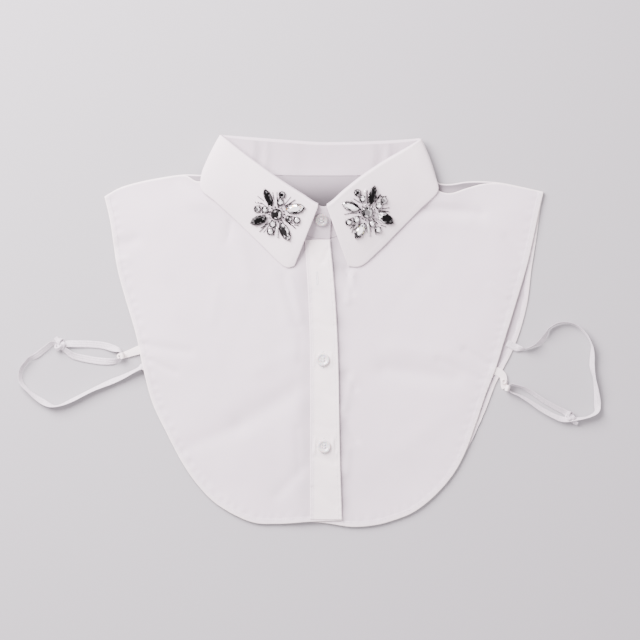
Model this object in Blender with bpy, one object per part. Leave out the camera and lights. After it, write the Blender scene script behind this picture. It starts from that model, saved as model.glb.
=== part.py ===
"""Detachable shirt collar with side ties, laid flat with its front up.

Tables are in millimetres. X runs from the wearer's right (-X) to the wearer's left,
Y from the hem up to the neck, and Z up from the table that the garment lies on.
The mesh is made in metres.
"""
import math

import bmesh
import bpy
import numpy as np
from mathutils import Vector
from mathutils.bvhtree import BVHTree

MM = 0.001

# Cloth
WALL = 1.0
SEAM_GAP = 0.3
EDGE_GAP = 0.5
PUFF = 1.8
PUFF_RISE = 0.25
SHOULDER_Y = 138.0
SHOULDER_FADE = 45.0
LAP_RISE = 1.6
LAP_START = -45.0
LAP_WIDTH = 25.0
NECK_INSET = 0.8
TABLE_CLEAR = 0.05

# The garment's outline is close to half an ellipse below the shoulders
BODY_CENTRE_X = 3.0
BODY_HALF_WIDTH = 205.0
BODY_TOP_Y = 120.0
BODY_DEPTH = 290.0

# The back panel climbs over the collar leaf that lies under its neckline
LEAF_STEP = 1.4
LEAF_STEP_Y = 104.0
LEAF_STEP_FADE = 14.0
LEAF_STEP_HALF_WIDTH = 113.0
LEAF_STEP_SIDE_FADE = 25.0

# Steps of the panels' grids
SHOULDER_STEPS = 8
NECK_STEPS = 9
FRONT_STEPS = 17
BACK_SHOULDER_STEPS = 7
BACK_NECK_STEPS = 12
BACK_STEPS = 15
PLACKET_STEPS = 5
PLACKET_SHARES = (0.0, 0.5, 1.0)
CURVE_STEPS = 8

# Collar: a tight roll keeps a wider seam gap than a full one
FULL_ROLL = 2.4
LEAF_CROWN = 1.2
ROLL_STEPS = 4
FALL_STEPS = 6
STAND_STEPS = 3
ROW_STEPS = 2

# Buttons
BUTTON_RADIUS = 5.8
BUTTON_HEIGHT = 2.4
BUTTON_DISH = 0.7
BUTTON_RIM = 4.4
BUTTON_BEVEL = 0.6
BUTTON_SIDES = 16

# Elastic ties, tabs and knots
TIE_WIDTH = 6.2
TIE_THICK = 0.8
TIE_CLEAR = 0.3
TAB_THICK = 1.0
TIE_STEPS = 2
KNOT_SIDES = 10
KNOT_RINGS = 6
KNOT_END = 0.08

# Crystals
STONE_SEAT = 0.45
STONE_SIDES = 8
GIRDLE_SHARE = 0.4
TABLE_SHARE = 0.5
FOOT_SHARE = 0.8
POINTED_ENDS = 0.35

# Row: seam x, seam y, share of the front layer, roll x, roll y, roll z, roll radius
STAND_ROWS = (
    (5.6, 83.2, 1.0, 7.0, 111.6, 18.6, 2.4),
    (-7.0, 83.9, 1.0, -5.3, 113.2, 18.9, 2.4),
    (-24.0, 89.5, 1.0, -19.0, 121.8, 18.4, 2.4),
    (-46.0, 101.5, 1.0, -37.0, 133.4, 17.2, 2.4),
    (-67.0, 117.0, 1.0, -57.5, 148.0, 15.2, 2.4),
    (-84.0, 131.5, 1.0, -76.0, 162.0, 12.6, 2.4),
    (-94.5, 140.5, 0.9, -87.5, 171.3, 10.8, 1.9),
    (-99.5, 145.3, 0.55, -92.4, 174.9, 8.0, 1.3),
    (-99.0, 147.3, 0.2, -91.5, 175.2, 5.3, 1.3),
    (-92.0, 146.6, 0.0, -84.5, 174.8, 3.8, 1.8),
    (-68.0, 143.2, 0.0, -60.0, 173.1, 3.3, 2.4),
    (-38.0, 140.5, 0.0, -30.0, 170.9, 3.2, 2.4),
    (-2.0, 140.1, 0.0, -2.0, 169.2, 3.2, 2.4),
    (36.0, 140.4, 0.0, 36.0, 169.7, 3.2, 2.4),
    (64.0, 141.9, 0.0, 62.0, 170.8, 3.3, 2.4),
    (86.0, 143.2, 0.0, 79.0, 171.8, 3.8, 1.8),
    (92.6, 142.9, 0.2, 85.3, 172.1, 5.3, 1.3),
    (93.1, 140.6, 0.55, 86.2, 171.4, 8.0, 1.3),
    (88.0, 135.5, 0.9, 81.3, 168.0, 10.8, 1.5),
    (78.0, 126.5, 1.0, 70.5, 161.8, 12.6, 2.4),
    (61.5, 113.5, 1.0, 53.0, 151.5, 15.2, 2.4),
    (41.5, 99.5, 1.0, 35.0, 139.3, 17.0, 2.4),
    (21.0, 88.5, 1.0, 18.0, 125.8, 17.8, 2.4),
    (3.5, 83.8, 1.0, 2.6, 112.9, 17.0, 2.4),
    (-11.0, 83.2, 1.0, -11.5, 111.4, 16.4, 2.4),
)
FIRST_BACK_ROW = 8
LAST_BACK_ROW = 16

# Row: edge x, edge y, share of the front layer, lift; one for each stand row but its ends
LEAF_ROWS = (
    (-26.6, 58.4, 1.0, 0.4),
    (-33.5, 57.2, 1.0, 0.4),
    (-56.0, 77.2, 1.0, 0.8),
    (-79.0, 99.2, 1.0, 0.8),
    (-98.0, 116.5, 1.0, 0.5),
    (-110.2, 127.2, 1.0, 0.3),
    (-110.6, 136.0, 0.95, 0.4),
    (-106.4, 148.2, 0.45, 0.1),
    (-98.0, 148.0, 0.0, 0.1),
    (-70.0, 135.0, 0.0, 0.1),
    (-34.0, 127.0, 0.0, 0.1),
    (-2.0, 124.5, 0.0, 0.1),
    (38.0, 126.0, 0.0, 0.1),
    (66.0, 132.0, 0.0, 0.1),
    (90.0, 145.0, 0.0, 0.1),
    (96.6, 145.0, 0.45, 0.1),
    (100.9, 134.6, 0.95, 0.4),
    (102.4, 126.0, 1.0, 0.3),
    (86.0, 109.1, 1.0, 0.8),
    (67.0, 89.9, 1.0, 0.8),
    (48.5, 71.3, 1.0, 0.8),
    (32.5, 58.2, 1.0, 0.4),
    (21.6, 58.2, 1.0, 0.4),
)

# Outline points: x, y
FRONT_RIGHT_ARMHOLE = (
    (-138.5, -98.0), (-154.0, -65.5), (-162.0, -36.0), (-169.0, -3.5),
    (-179.0, 30.5), (-186.0, 57.0), (-192.5, 99.5), (-197.5, 121.0),
)
FRONT_RIGHT_HEM = (
    (-138.5, -98.0), (-127.5, -118.5), (-114.0, -138.0), (-96.0, -156.0),
    (-64.5, -172.0), (-42.0, -173.5), (-12.5, -171.5), (16.5, -170.3),
)
FREE_EDGE = ((16.5, -170.3), (14.0, -91.0), (12.9, -19.0), (9.9, 36.0), (5.7, 82.4))
FRONT_RIGHT_SHOULDER = (
    (-197.5, 121.0), (-186.0, 127.5), (-170.0, 132.8), (-142.0, 138.2),
    (-125.0, 140.0), (-114.0, 134.5), (-105.0, 136.5),
)
FRONT_LEFT_ARMHOLE = (
    (137.7, -80.1), (145.3, -57.4), (154.8, -32.4), (162.5, -7.2), (169.7, 15.8),
    (182.5, 58.8), (187.6, 80.4), (194.0, 110.7), (197.5, 125.0),
)
FRONT_LEFT_HEM = (
    (137.7, -80.1), (126.9, -109.4), (115.7, -129.6), (97.7, -149.9), (79.7, -163.4),
    (61.7, -170.6), (48.2, -174.2), (25.7, -176.2), (1.8, -172.8), (-13.0, -171.5),
)
UNDER_EDGE = ((-13.0, -171.5), (-12.5, -19.0), (-12.0, 36.0), (-11.3, 82.4))
FRONT_LEFT_SHOULDER = (
    (197.5, 125.0), (173.7, 130.2), (158.0, 133.0), (143.0, 132.3),
    (128.7, 128.5), (113.0, 123.8), (103.5, 126.0), (97.5, 133.0),
)
BACK_RIGHT_ARMHOLE = (
    (-137.0, -97.0), (-152.0, -65.0), (-160.3, -36.0), (-167.3, -3.5),
    (-177.3, 30.5), (-184.3, 57.0), (-191.0, 99.5), (-196.3, 121.2),
)
BACK_LEFT_ARMHOLE = (
    (136.5, -82.0), (140.4, -80.7), (154.8, -46.8), (160.5, -35.7), (172.5, -10.8),
    (182.5, 23.0), (186.8, 55.8), (191.7, 87.3), (194.6, 110.7), (197.5, 125.3),
)
BACK_HEM = (
    (-137.0, -97.0), (-112.5, -136.0), (-94.5, -154.0), (-63.5, -169.5),
    (-20.0, -171.0), (25.0, -173.0), (61.0, -168.5), (96.5, -148.5),
    (125.5, -108.5), (136.5, -82.0),
)
BACK_RIGHT_SHOULDER = (
    (-196.3, 121.2), (-186.0, 127.9), (-170.0, 133.2), (-142.0, 138.8),
    (-125.0, 140.9), (-109.0, 140.6), (-103.0, 142.6),
)
BACK_LEFT_SHOULDER = (
    (97.5, 137.3), (103.5, 133.0), (115.2, 132.3), (125.0, 134.1), (137.7, 134.8),
    (158.0, 133.6), (173.7, 130.6), (197.5, 125.3),
)

# Row: y, left x, right x
PLACKET_ROWS = (
    (-169.2, -12.6, 16.0),
    (-116.0, -12.6, 14.4),
    (-19.0, -12.6, 12.4),
    (34.2, -14.4, 9.5),
    (81.8, -17.4, 5.2),
)

# Row: x, y, height, radius, where the cloth stands up over what holds it open
LIFTS = (
    (-88.0, 134.0, 2.6, 28.0),
    (84.0, 131.0, 2.6, 28.0),
    (-158.0, -27.0, 1.8, 26.0),
)

# Row: x, y, x, y at the ends, height, half width
RIGHT_FOLDS = (
    (-17.0, -50.0, -125.0, -107.0, -1.4, 13.0),
    (-20.0, -120.0, -42.0, -150.0, -0.8, 8.0),
    (-84.0, 98.0, -88.0, 80.0, -0.6, 4.5),
    (-76.0, 82.0, -68.0, 46.0, 0.8, 7.0),
)
LEFT_FOLDS = (
    (90.0, 111.0, 140.0, 106.0, -1.0, 9.0),
    (55.0, -34.0, 118.0, -42.0, -1.2, 11.0),
    (127.0, -17.0, 149.0, -32.0, -0.7, 6.0),
    (26.0, 50.0, 24.0, 28.0, 0.5, 5.0),
    (26.0, -40.0, 24.0, -62.0, 0.5, 5.0),
)
FOLD_CLEAR_RIGHT = -18.0
FOLD_CLEAR_LEFT = 18.0
FOLD_FADE = 12.0

# Row: x, y, tilt of the band in degrees, height above the table
TIE_RIGHT_OUTER = (
    (-155.5, -29.5, 0.0, 1.35), (-163.0, -32.0, 0.0, 1.35), (-168.0, -34.5, 0.0, 1.3),
    (-181.5, -41.4, 35.0, 0.3), (-190.0, -45.0, 0.0, 0.3), (-208.8, -53.1, 0.0, 0.3),
    (-227.3, -62.5, 0.0, 0.3), (-240.0, -67.4, 15.0, 0.3), (-252.9, -63.5, 45.0, 0.3),
    (-265.0, -54.5, 50.0, 0.3), (-272.6, -45.0, 60.0, 0.3), (-272.6, -35.5, 75.0, 0.3),
    (-267.5, -27.7, 75.0, 0.3), (-257.5, -21.2, 60.0, 0.3), (-250.2, -15.6, 50.0, 0.3),
    (-243.0, -11.0, 40.0, 0.3),
)
TIE_RIGHT_DOUBLE = (
    (-232.3, -17.6, 40.0, 0.3), (-226.0, -22.0, 20.0, 0.3), (-217.8, -24.3, 5.0, 0.3),
    (-204.3, -26.7, 0.0, 0.3), (-192.5, -27.5, 20.0, 0.3), (-184.5, -25.9, 65.0, 0.3),
    (-181.2, -22.0, 90.0, 0.3), (-183.4, -17.8, 65.0, 0.3), (-190.0, -15.3, 20.0, 0.3),
    (-199.8, -12.8, 0.0, 0.3), (-210.6, -11.8, 0.0, 0.3), (-220.0, -11.6, 5.0, 0.3),
    (-231.8, -11.6, 20.0, 0.3),
)
TIE_LEFT_OUTER = (
    (164.5, -10.5, 0.0, 1.35), (171.0, -14.0, 0.0, 1.35), (175.5, -15.7, 25.0, 1.0),
    (183.0, -15.7, 60.0, 0.3), (190.3, -12.6, 60.0, 0.3), (195.8, -8.5, 50.0, 0.3),
    (200.0, -2.5, 50.0, 0.3), (203.5, 3.0, 60.0, 0.3), (211.0, 6.9, 60.0, 0.3),
    (220.8, 7.2, 55.0, 0.3), (228.5, 4.0, 40.0, 0.3), (235.5, -3.0, 30.0, 0.3),
    (240.2, -11.0, 30.0, 0.3), (241.2, -22.0, 30.0, 0.3), (241.0, -31.0, 25.0, 0.3),
    (243.0, -42.0, 15.0, 0.3), (245.0, -55.0, 10.0, 0.3), (246.0, -66.0, 25.0, 0.3),
    (243.8, -73.9, 55.0, 0.3), (237.0, -77.4, 70.0, 0.3), (226.4, -79.0, 60.0, 0.3),
)
TIE_LEFT_DOUBLE = (
    (214.0, -79.2, 40.0, 0.3), (207.0, -76.5, 45.0, 0.3), (195.4, -70.2, 50.0, 0.3),
    (184.0, -62.6, 50.0, 0.3), (174.0, -57.2, 55.0, 0.3), (168.6, -55.0, 70.0, 0.3),
    (165.2, -51.6, 90.0, 0.3), (167.6, -48.2, 70.0, 0.3), (175.6, -49.6, 55.0, 0.3),
    (186.6, -55.2, 50.0, 0.3), (198.0, -63.0, 50.0, 0.3), (209.6, -69.4, 45.0, 0.3),
    (217.2, -73.3, 40.0, 0.3),
)

# Row: x, y, half length, half width, height, turn in degrees
KNOTS = {
    "tie_right_knot": (-237.0, -12.4, 6.4, 5.0, 6.2, 60.0),
    "tie_left_knot": (221.4, -77.4, 6.0, 4.6, 6.0, -65.0),
}

# Row: x, y, tilt of the strip in degrees, height above the table
TAB_RIGHT_WIDTH = 8.0
TAB_RIGHT = (
    (-167.0, -17.2, 0.0, 1.6), (-172.0, -18.9, 0.0, 1.4), (-179.8, -21.9, 0.0, 0.9),
)
TAB_LEFT_WIDTH = 5.0
TAB_LEFT = (
    (157.9, -43.9, 0.0, 0.15), (159.8, -45.8, 0.0, 0.15), (162.1, -48.8, 0.0, 0.15),
    (161.8, -52.6, 0.0, 0.15),
)

# Row: x, y of a button on the placket
BUTTON_ROWS = (("button_upper", -1.1, -25.6), ("button_lower", 0.0, -103.5))
COLLAR_BUTTON = (-2.2, 99.9)

STONE_HEIGHTS = {"centre": 3.6, "leaf": 2.8, "round": 2.6}

# Row: kind, x and y from the middle of the cluster, length, width, turn in degrees
CLUSTERS = {
    "stone_right": ((-42.3, 104.7), (
        ("centre", 0.0, 0.0, 9.6, 9.6, 0.0),
        ("leaf", -7.4, 15.0, 16.0, 6.0, 113.0),
        ("leaf", -15.9, -5.2, 15.5, 7.8, 20.0),
        ("leaf", 7.3, -15.4, 17.0, 8.0, -65.0),
        ("leaf", 16.7, 4.8, 16.6, 8.6, 8.0),
        ("round", 4.9, 17.3, 5.5, 5.5, 0.0),
        ("round", 3.5, 10.5, 5.5, 5.5, 0.0),
        ("round", -17.3, 4.8, 5.5, 5.5, 0.0),
        ("round", -10.4, 4.3, 5.5, 5.5, 0.0),
        ("round", 10.8, -4.5, 5.5, 5.5, 0.0),
        ("round", 18.0, -5.4, 5.5, 5.5, 0.0),
        ("round", -3.3, -8.9, 5.5, 5.5, 0.0),
        ("round", -5.6, -15.4, 5.5, 5.5, 0.0),
    )),
    "stone_left": ((38.4, 106.3), (
        ("centre", 0.0, 0.0, 9.6, 9.6, 0.0),
        ("leaf", 4.8, 15.2, 17.0, 6.0, 78.0),
        ("leaf", 16.6, -5.2, 16.0, 8.4, -33.0),
        ("leaf", -6.2, -16.3, 15.5, 7.4, 60.0),
        ("leaf", -14.4, 5.3, 16.2, 7.8, -19.0),
        ("round", -8.7, 17.6, 5.5, 5.5, 0.0),
        ("round", -4.2, 12.1, 5.5, 5.5, 0.0),
        ("round", 14.9, 10.6, 5.5, 5.5, 0.0),
        ("round", 10.6, 6.0, 5.5, 5.5, 0.0),
        ("round", -16.4, -8.6, 5.5, 5.5, 0.0),
        ("round", -9.6, -6.4, 5.5, 5.5, 0.0),
        ("round", 4.3, -10.0, 5.5, 5.5, 0.0),
        ("round", 9.7, -15.4, 5.5, 5.5, 0.0),
    )),
}
DARK_STONES = ("stone_right_02", "stone_right_03", "stone_left_02", "stone_left_03")

# Material: colour, roughness, metallic
FINISHES = {
    "poplin": ((0.80, 0.77, 0.80), 0.85, 0.0),
    "button": ((0.86, 0.84, 0.82), 0.3, 0.0),
    "elastic": ((0.82, 0.80, 0.81), 0.8, 0.0),
    "clear_crystal": ((0.85, 0.87, 0.88), 0.05, 0.0),
    "smoke_crystal": ((0.05, 0.05, 0.06), 0.05, 0.0),
}


def smooth_step(value):
    """Return 0 below 0, 1 above 1 and an even rise between."""
    value = np.clip(value, 0.0, 1.0)
    return value * value * (3.0 - 2.0 * value)


def smooth_rows(rows, steps):
    """Return points on a smooth curve through the rows, with some steps between each two."""
    points = np.array(rows, dtype=float)
    spans = np.sqrt(np.linalg.norm(np.diff(points, axis=0), axis=1))[:, None]
    chords = np.diff(points, axis=0) / spans
    slopes = np.empty_like(points)
    slopes[0] = chords[0]
    slopes[-1] = chords[-1]
    both = spans[:-1] + spans[1:]
    slopes[1:-1] = (chords[:-1] * spans[1:] + chords[1:] * spans[:-1]) / both
    curve = [points[0]]
    for index, span in enumerate(spans):
        for step in range(1, steps + 1):
            t = step / steps
            curve.append(
                (2 * t**3 - 3 * t**2 + 1) * points[index]
                + (t**3 - 2 * t**2 + t) * span * slopes[index]
                + (3 * t**2 - 2 * t**3) * points[index + 1]
                + (t**3 - t**2) * span * slopes[index + 1]
            )
    return np.array(curve)


def evenly(rows, count):
    """Return an even number of steps along a smooth curve through the rows."""
    curve = smooth_rows(rows, CURVE_STEPS)
    lengths = np.linalg.norm(np.diff(curve, axis=0), axis=1)
    along = np.concatenate(([0.0], np.cumsum(lengths)))
    places = np.linspace(0.0, along[-1], count + 1)
    return np.stack([np.interp(places, along, column) for column in curve.T], axis=1)


def patch(bottom, top, left, right):
    """Return a grid of points that fills the outline given by its four sides."""
    across = np.linspace(0.0, 1.0, len(bottom))[None, :, None]
    up = np.linspace(0.0, 1.0, len(left))[:, None, None]
    between_ends = (1 - up) * bottom[None] + up * top[None]
    between_sides = (1 - across) * left[:, None] + across * right[:, None]
    corners = (1 - up) * ((1 - across) * bottom[0] + across * bottom[-1])
    corners = corners + up * ((1 - across) * top[0] + across * top[-1])
    return between_ends + between_sides - corners


def back_height(x, y):
    """Return the height of the back panel's underside."""
    side = 1.0 - smooth_step((np.abs(x + 1.0) - LEAF_STEP_HALF_WIDTH) / LEAF_STEP_SIDE_FADE)
    return LEAF_STEP * smooth_step((y - LEAF_STEP_Y) / LEAF_STEP_FADE) * side


def fold_height(x, y, folds):
    """Return the height that soft ridges and troughs along straight lines add."""
    total = np.zeros_like(x)
    for x0, y0, x1, y1, height, half_width in folds:
        length = math.hypot(x1 - x0, y1 - y0)
        along_x = (x1 - x0) / length
        along_y = (y1 - y0) / length
        along = (x - x0) * along_x + (y - y0) * along_y
        beside = (y - y0) * along_x - (x - x0) * along_y
        past = np.maximum(0.0, np.maximum(-along, along - length))
        total = total + height * np.exp(-(beside**2 + past**2) / half_width**2)
    return total


def front_height(x, y, over):
    """Return the height of a front panel's underside; the right one laps over."""
    body = np.hypot((x - BODY_CENTRE_X) / BODY_HALF_WIDTH, (y - BODY_TOP_Y) / BODY_DEPTH)
    edge_fade = smooth_step((1.0 - body) / PUFF_RISE)
    puff = edge_fade * smooth_step((SHOULDER_Y - y) / SHOULDER_FADE)
    height = back_height(x, y) + WALL + EDGE_GAP + PUFF * puff
    for lift_x, lift_y, lift, radius in LIFTS:
        height = height + lift * np.exp(-((x - lift_x)**2 + (y - lift_y)**2) / radius**2)
    if over:
        clear = smooth_step((FOLD_CLEAR_RIGHT - x) / FOLD_FADE)
        height = height + LAP_RISE * smooth_step((x - LAP_START) / LAP_WIDTH)
        return height + clear * edge_fade * fold_height(x, y, RIGHT_FOLDS)
    clear = smooth_step((x - FOLD_CLEAR_LEFT) / FOLD_FADE)
    return height + clear * edge_fade * fold_height(x, y, LEFT_FOLDS)


def right_front_height(x, y):
    """Return the height of the lapping front panel's underside."""
    return front_height(x, y, True)


def left_front_height(x, y):
    """Return the height of the under front panel's underside."""
    return front_height(x, y, False)


def placket_height(x, y):
    """Return the height of the placket's underside."""
    return right_front_height(x, y) + WALL + SEAM_GAP


def raised(plan, height):
    """Return plan points as points in space at the height that a function gives."""
    return np.dstack((plan[..., 0], plan[..., 1], height(plan[..., 0], plan[..., 1])))


def make_object(name, mesh_builder, finish):
    """Return a new object whose mesh is the builder's, in metres, with its faces turned out."""
    bmesh.ops.recalc_face_normals(mesh_builder, faces=mesh_builder.faces)
    bmesh.ops.scale(mesh_builder, vec=(MM, MM, MM), verts=mesh_builder.verts)
    mesh = bpy.data.meshes.new(name)
    mesh_builder.to_mesh(mesh)
    mesh_builder.free()
    mesh.shade_smooth()
    mesh.set_sharp_from_angle(angle=math.radians(40.0))
    mesh.materials.append(material(finish))
    thing = bpy.data.objects.new(name, mesh)
    bpy.context.collection.objects.link(thing)
    return thing


def material(name):
    """Return the finish of that name, made the first time that it is asked for."""
    if name in bpy.data.materials:
        return bpy.data.materials[name]
    colour, roughness, metallic = FINISHES[name]
    finish = bpy.data.materials.new(name)
    finish.use_nodes = True
    shader = finish.node_tree.nodes["Principled BSDF"]
    shader.inputs["Base Color"].default_value = (*colour, 1.0)
    shader.inputs["Roughness"].default_value = roughness
    shader.inputs["Metallic"].default_value = metallic
    return finish


def make_wall(name, outer, inner, finish):
    """Return a closed wall between two grids of points of the same size."""
    rows, columns = outer.shape[:2]
    builder = bmesh.new()
    sheets = []
    for grid in (outer, inner):
        sheets.append([[builder.verts.new(point) for point in row] for row in grid])
    top, under = sheets
    for i in range(rows - 1):
        for j in range(columns - 1):
            builder.faces.new((top[i][j], top[i][j + 1], top[i + 1][j + 1], top[i + 1][j]))
            builder.faces.new(
                (under[i][j], under[i + 1][j], under[i + 1][j + 1], under[i][j + 1])
            )
    for i in range(rows - 1):
        for j in (0, columns - 1):
            builder.faces.new((top[i][j], top[i + 1][j], under[i + 1][j], under[i][j]))
    for j in range(columns - 1):
        for i in (0, rows - 1):
            builder.faces.new((top[i][j], under[i][j], under[i][j + 1], top[i][j + 1]))
    return make_object(name, builder, finish)


def make_panel(name, plan, height, finish):
    """Return a flat-laid piece of cloth over a plan grid, at a height over the table."""
    under = raised(plan, height)
    return make_wall(name, under + np.array((0.0, 0.0, WALL)), under, finish)


def neckline(rows):
    """Return a panel's edge along the neck seam, just clear of the collar stand."""
    points = []
    for seam_x, seam_y, _, roll_x, roll_y, _, _ in rows:
        away = np.array((seam_x - roll_x, seam_y - roll_y))
        points.append(np.array((seam_x, seam_y)) + NECK_INSET * away / np.linalg.norm(away))
    return points


def front_plan(armhole, hem, centre, shoulder, neck_rows):
    """Return the plan grid of a front panel."""
    neck = neckline(neck_rows)
    along_shoulder = evenly(shoulder + (neck[0],), SHOULDER_STEPS)
    top = np.vstack((along_shoulder, evenly(neck, NECK_STEPS)[1:]))
    bottom = evenly(hem, len(top) - 1)
    return patch(bottom, top, evenly(armhole, FRONT_STEPS), evenly(centre, FRONT_STEPS))


def back_plan():
    """Return the plan grid of the back panel."""
    neck = neckline(STAND_ROWS[FIRST_BACK_ROW:LAST_BACK_ROW + 1])
    right = evenly(BACK_RIGHT_SHOULDER + (neck[0],), BACK_SHOULDER_STEPS)
    left = evenly((neck[-1],) + BACK_LEFT_SHOULDER, BACK_SHOULDER_STEPS)
    top = np.vstack((right, evenly(neck, BACK_NECK_STEPS)[1:], left[1:]))
    bottom = evenly(BACK_HEM, len(top) - 1)
    right_side = evenly(BACK_RIGHT_ARMHOLE, BACK_STEPS)
    left_side = evenly(BACK_LEFT_ARMHOLE, BACK_STEPS)
    return patch(bottom, top, right_side, left_side)


def placket_plan():
    """Return the plan grid of the placket."""
    rows = smooth_rows(PLACKET_ROWS, PLACKET_STEPS)
    columns = []
    for share in PLACKET_SHARES:
        x = rows[:, 1] * (1 - share) + rows[:, 2] * share
        columns.append(np.stack((x, rows[:, 0]), axis=1))
    return np.stack(columns, axis=1)


def layer_height(x, y, share, over):
    """Return the height of cloth that lies a share of the way from the back to the front."""
    x = np.array(x)
    y = np.array(y)
    back = back_height(x, y)
    return float(back + share * (front_height(x, y, over) - back)) + WALL / 2


def stand_stations():
    """Return the seam points, roll points and roll radii round the neck."""
    rows = []
    for place, (seam_x, seam_y, share, *roll) in enumerate(STAND_ROWS):
        over = place < FIRST_BACK_ROW
        seam_z = layer_height(seam_x, seam_y, share, over)
        rows.append((seam_x, seam_y, seam_z, *roll))
    stations = smooth_rows(rows, ROW_STEPS)
    return stations[:, :3], stations[:, 3:6], stations[:, 6:]


def leaf_edge_stations():
    """Return the leaf's outer edge, at the stand's stations that carry the leaf."""
    rows = []
    for place, (x, y, share, lift) in enumerate(LEAF_ROWS, start=1):
        on_table = WALL / 2
        over = place < FIRST_BACK_ROW
        on_front = layer_height(x, y, 1.0, over) + WALL + SEAM_GAP
        rows.append((x, y, on_table + share * (on_front - on_table) + lift, share))
    return smooth_rows(rows, ROW_STEPS)


def unit(vector):
    """Return the vector at length 1."""
    return vector / np.linalg.norm(vector)


def section_axes(seam, roll):
    """Return the upward and outward directions of the collar at each station."""
    along = np.gradient((seam + roll) / 2, axis=0)
    upward = np.array([unit(row) for row in roll - seam])
    outward = np.array([unit(row) for row in np.cross(upward, along)])
    return upward, outward


def thicken(grid):
    """Return the outer and inner points of a wall round a grid of middle points."""
    along_rows = np.gradient(grid, axis=0)
    along_columns = np.gradient(grid, axis=1)
    normals = np.cross(along_columns, along_rows)
    normals = normals / np.linalg.norm(normals, axis=2, keepdims=True)
    return grid + normals * WALL / 2, grid - normals * WALL / 2


def make_stand():
    """Return the collar stand, from its lapping end round the neck to its under end."""
    seam, roll, radius = stand_stations()
    upward, outward = section_axes(seam, roll)
    top = roll - radius * (upward + outward)
    shares = np.linspace(0.0, 1.0, STAND_STEPS + 1)[None, :, None]
    grid = seam[:, None] * (1 - shares) + top[:, None] * shares
    return make_wall("collar_stand", *thicken(grid), "poplin")


def make_leaf():
    """Return the collar leaf: a roll over the stand's top, then the fall to its edge."""
    seam, roll, radius = stand_stations()
    carried = slice(ROW_STEPS, len(seam) - ROW_STEPS)
    upward, outward = (axis[carried] for axis in section_axes(seam, roll))
    radius = radius[carried]
    centre = roll[carried] - upward * (radius - SEAM_GAP * FULL_ROLL / radius)
    edges = leaf_edge_stations()
    columns = []
    for turn in np.linspace(0.0, math.pi, ROLL_STEPS + 1):
        swing = -outward * math.cos(turn) + upward * math.sin(turn)
        columns.append(centre + radius * swing)
    lead_in = columns[1] - 2 * radius * upward
    columns.insert(0, lead_in)
    start = columns[-1]
    front = edges[:, 3:]
    for share in np.linspace(0.0, 1.0, FALL_STEPS + 1)[1:]:
        crown = LEAF_CROWN * 4 * share * (1 - share) * front * outward
        columns.append(start * (1 - share) + edges[:, :3] * share + crown)
    grid = np.stack(columns, axis=1)
    grid[:, :, 2] = np.maximum(grid[:, :, 2], WALL / 2 + TABLE_CLEAR)
    outer, inner_face = thicken(grid)
    return make_wall("collar_leaf", outer[:, 1:], inner_face[:, 1:], "poplin")


def make_band(name, rows, width, thick, finish):
    """Return a flat band along a route; each row gives x, y, tilt and height."""
    route = smooth_rows(rows, TIE_STEPS)
    tilt = np.radians(route[:, 2])
    rise = (width * np.sin(tilt) + thick * np.cos(tilt)) / 2
    middle = np.stack((route[:, 0], route[:, 1], route[:, 3] + rise), axis=1)
    along = np.gradient(middle, axis=0)
    builder = bmesh.new()
    rings = []
    for point, direction, angle in zip(middle, along, tilt):
        level = unit(np.array((-direction[1], direction[0], 0.0)))
        across = level * math.cos(angle) + np.array((0.0, 0.0, math.sin(angle)))
        normal = unit(np.cross(direction, across))
        ring = []
        for side, face in ((-1, -1), (1, -1), (1, 1), (-1, 1)):
            corner = point + side * across * width / 2 + face * normal * thick / 2
            ring.append(builder.verts.new(corner))
        rings.append(ring)
    for first, second in zip(rings, rings[1:]):
        for side in range(4):
            after = (side + 1) % 4
            builder.faces.new((first[side], first[after], second[after], second[side]))
    builder.faces.new(rings[0][::-1])
    builder.faces.new(rings[-1])
    return make_object(name, builder, finish)


def turned(name, profile, sides, outline, seat, axes, finish):
    """Return a closed body of rings; each profile row gives a share of the size and a height."""
    across, beside, up = axes
    builder = bmesh.new()
    rings = []
    for share, height in profile:
        ring = []
        for step in range(sides):
            x, y = outline(share, 2 * math.pi * step / sides)
            ring.append(builder.verts.new(seat + across * x + beside * y + up * height))
        rings.append(ring)
    for low, high in zip(rings, rings[1:]):
        for step in range(sides):
            after = (step + 1) % sides
            builder.faces.new((low[step], low[after], high[after], high[step]))
    builder.faces.new(rings[0][::-1])
    builder.faces.new(rings[-1])
    return make_object(name, builder, finish)


def axes_on(normal, turn):
    """Return two directions along a surface, turned by degrees, and its normal."""
    angle = math.radians(turn)
    normal = np.array(normal)
    heading = np.array((math.cos(angle), math.sin(angle), 0.0))
    beside = unit(np.cross(normal, heading))
    return np.cross(beside, normal), beside, normal


def surface_point(thing, x, y):
    """Return the highest point of an object at a place in plan, and its normal there."""
    tree = BVHTree.FromPolygons(
        [vertex.co / MM for vertex in thing.data.vertices],
        [polygon.vertices for polygon in thing.data.polygons],
    )
    point, normal, _, _ = tree.ray_cast(Vector((x, y, 100.0)), Vector((0.0, 0.0, -1.0)))
    return np.array(point), np.array(normal)


def make_button(name, carrier, x, y):
    """Return a dished button that lies on its carrier."""
    point, normal = surface_point(carrier, x, y)

    def outline(radius, angle):
        return radius * math.cos(angle), radius * math.sin(angle)

    profile = (
        (BUTTON_RADIUS - 2 * BUTTON_BEVEL, 0.0),
        (BUTTON_RADIUS, BUTTON_BEVEL),
        (BUTTON_RADIUS, BUTTON_HEIGHT - BUTTON_BEVEL),
        (BUTTON_RADIUS - BUTTON_BEVEL, BUTTON_HEIGHT),
        (BUTTON_RIM, BUTTON_HEIGHT),
        (BUTTON_RIM - BUTTON_BEVEL, BUTTON_HEIGHT - BUTTON_DISH),
    )
    seat = point + normal * SEAM_GAP
    return turned(name, profile, BUTTON_SIDES, outline, seat, axes_on(normal, 0.0), "button")


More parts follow.
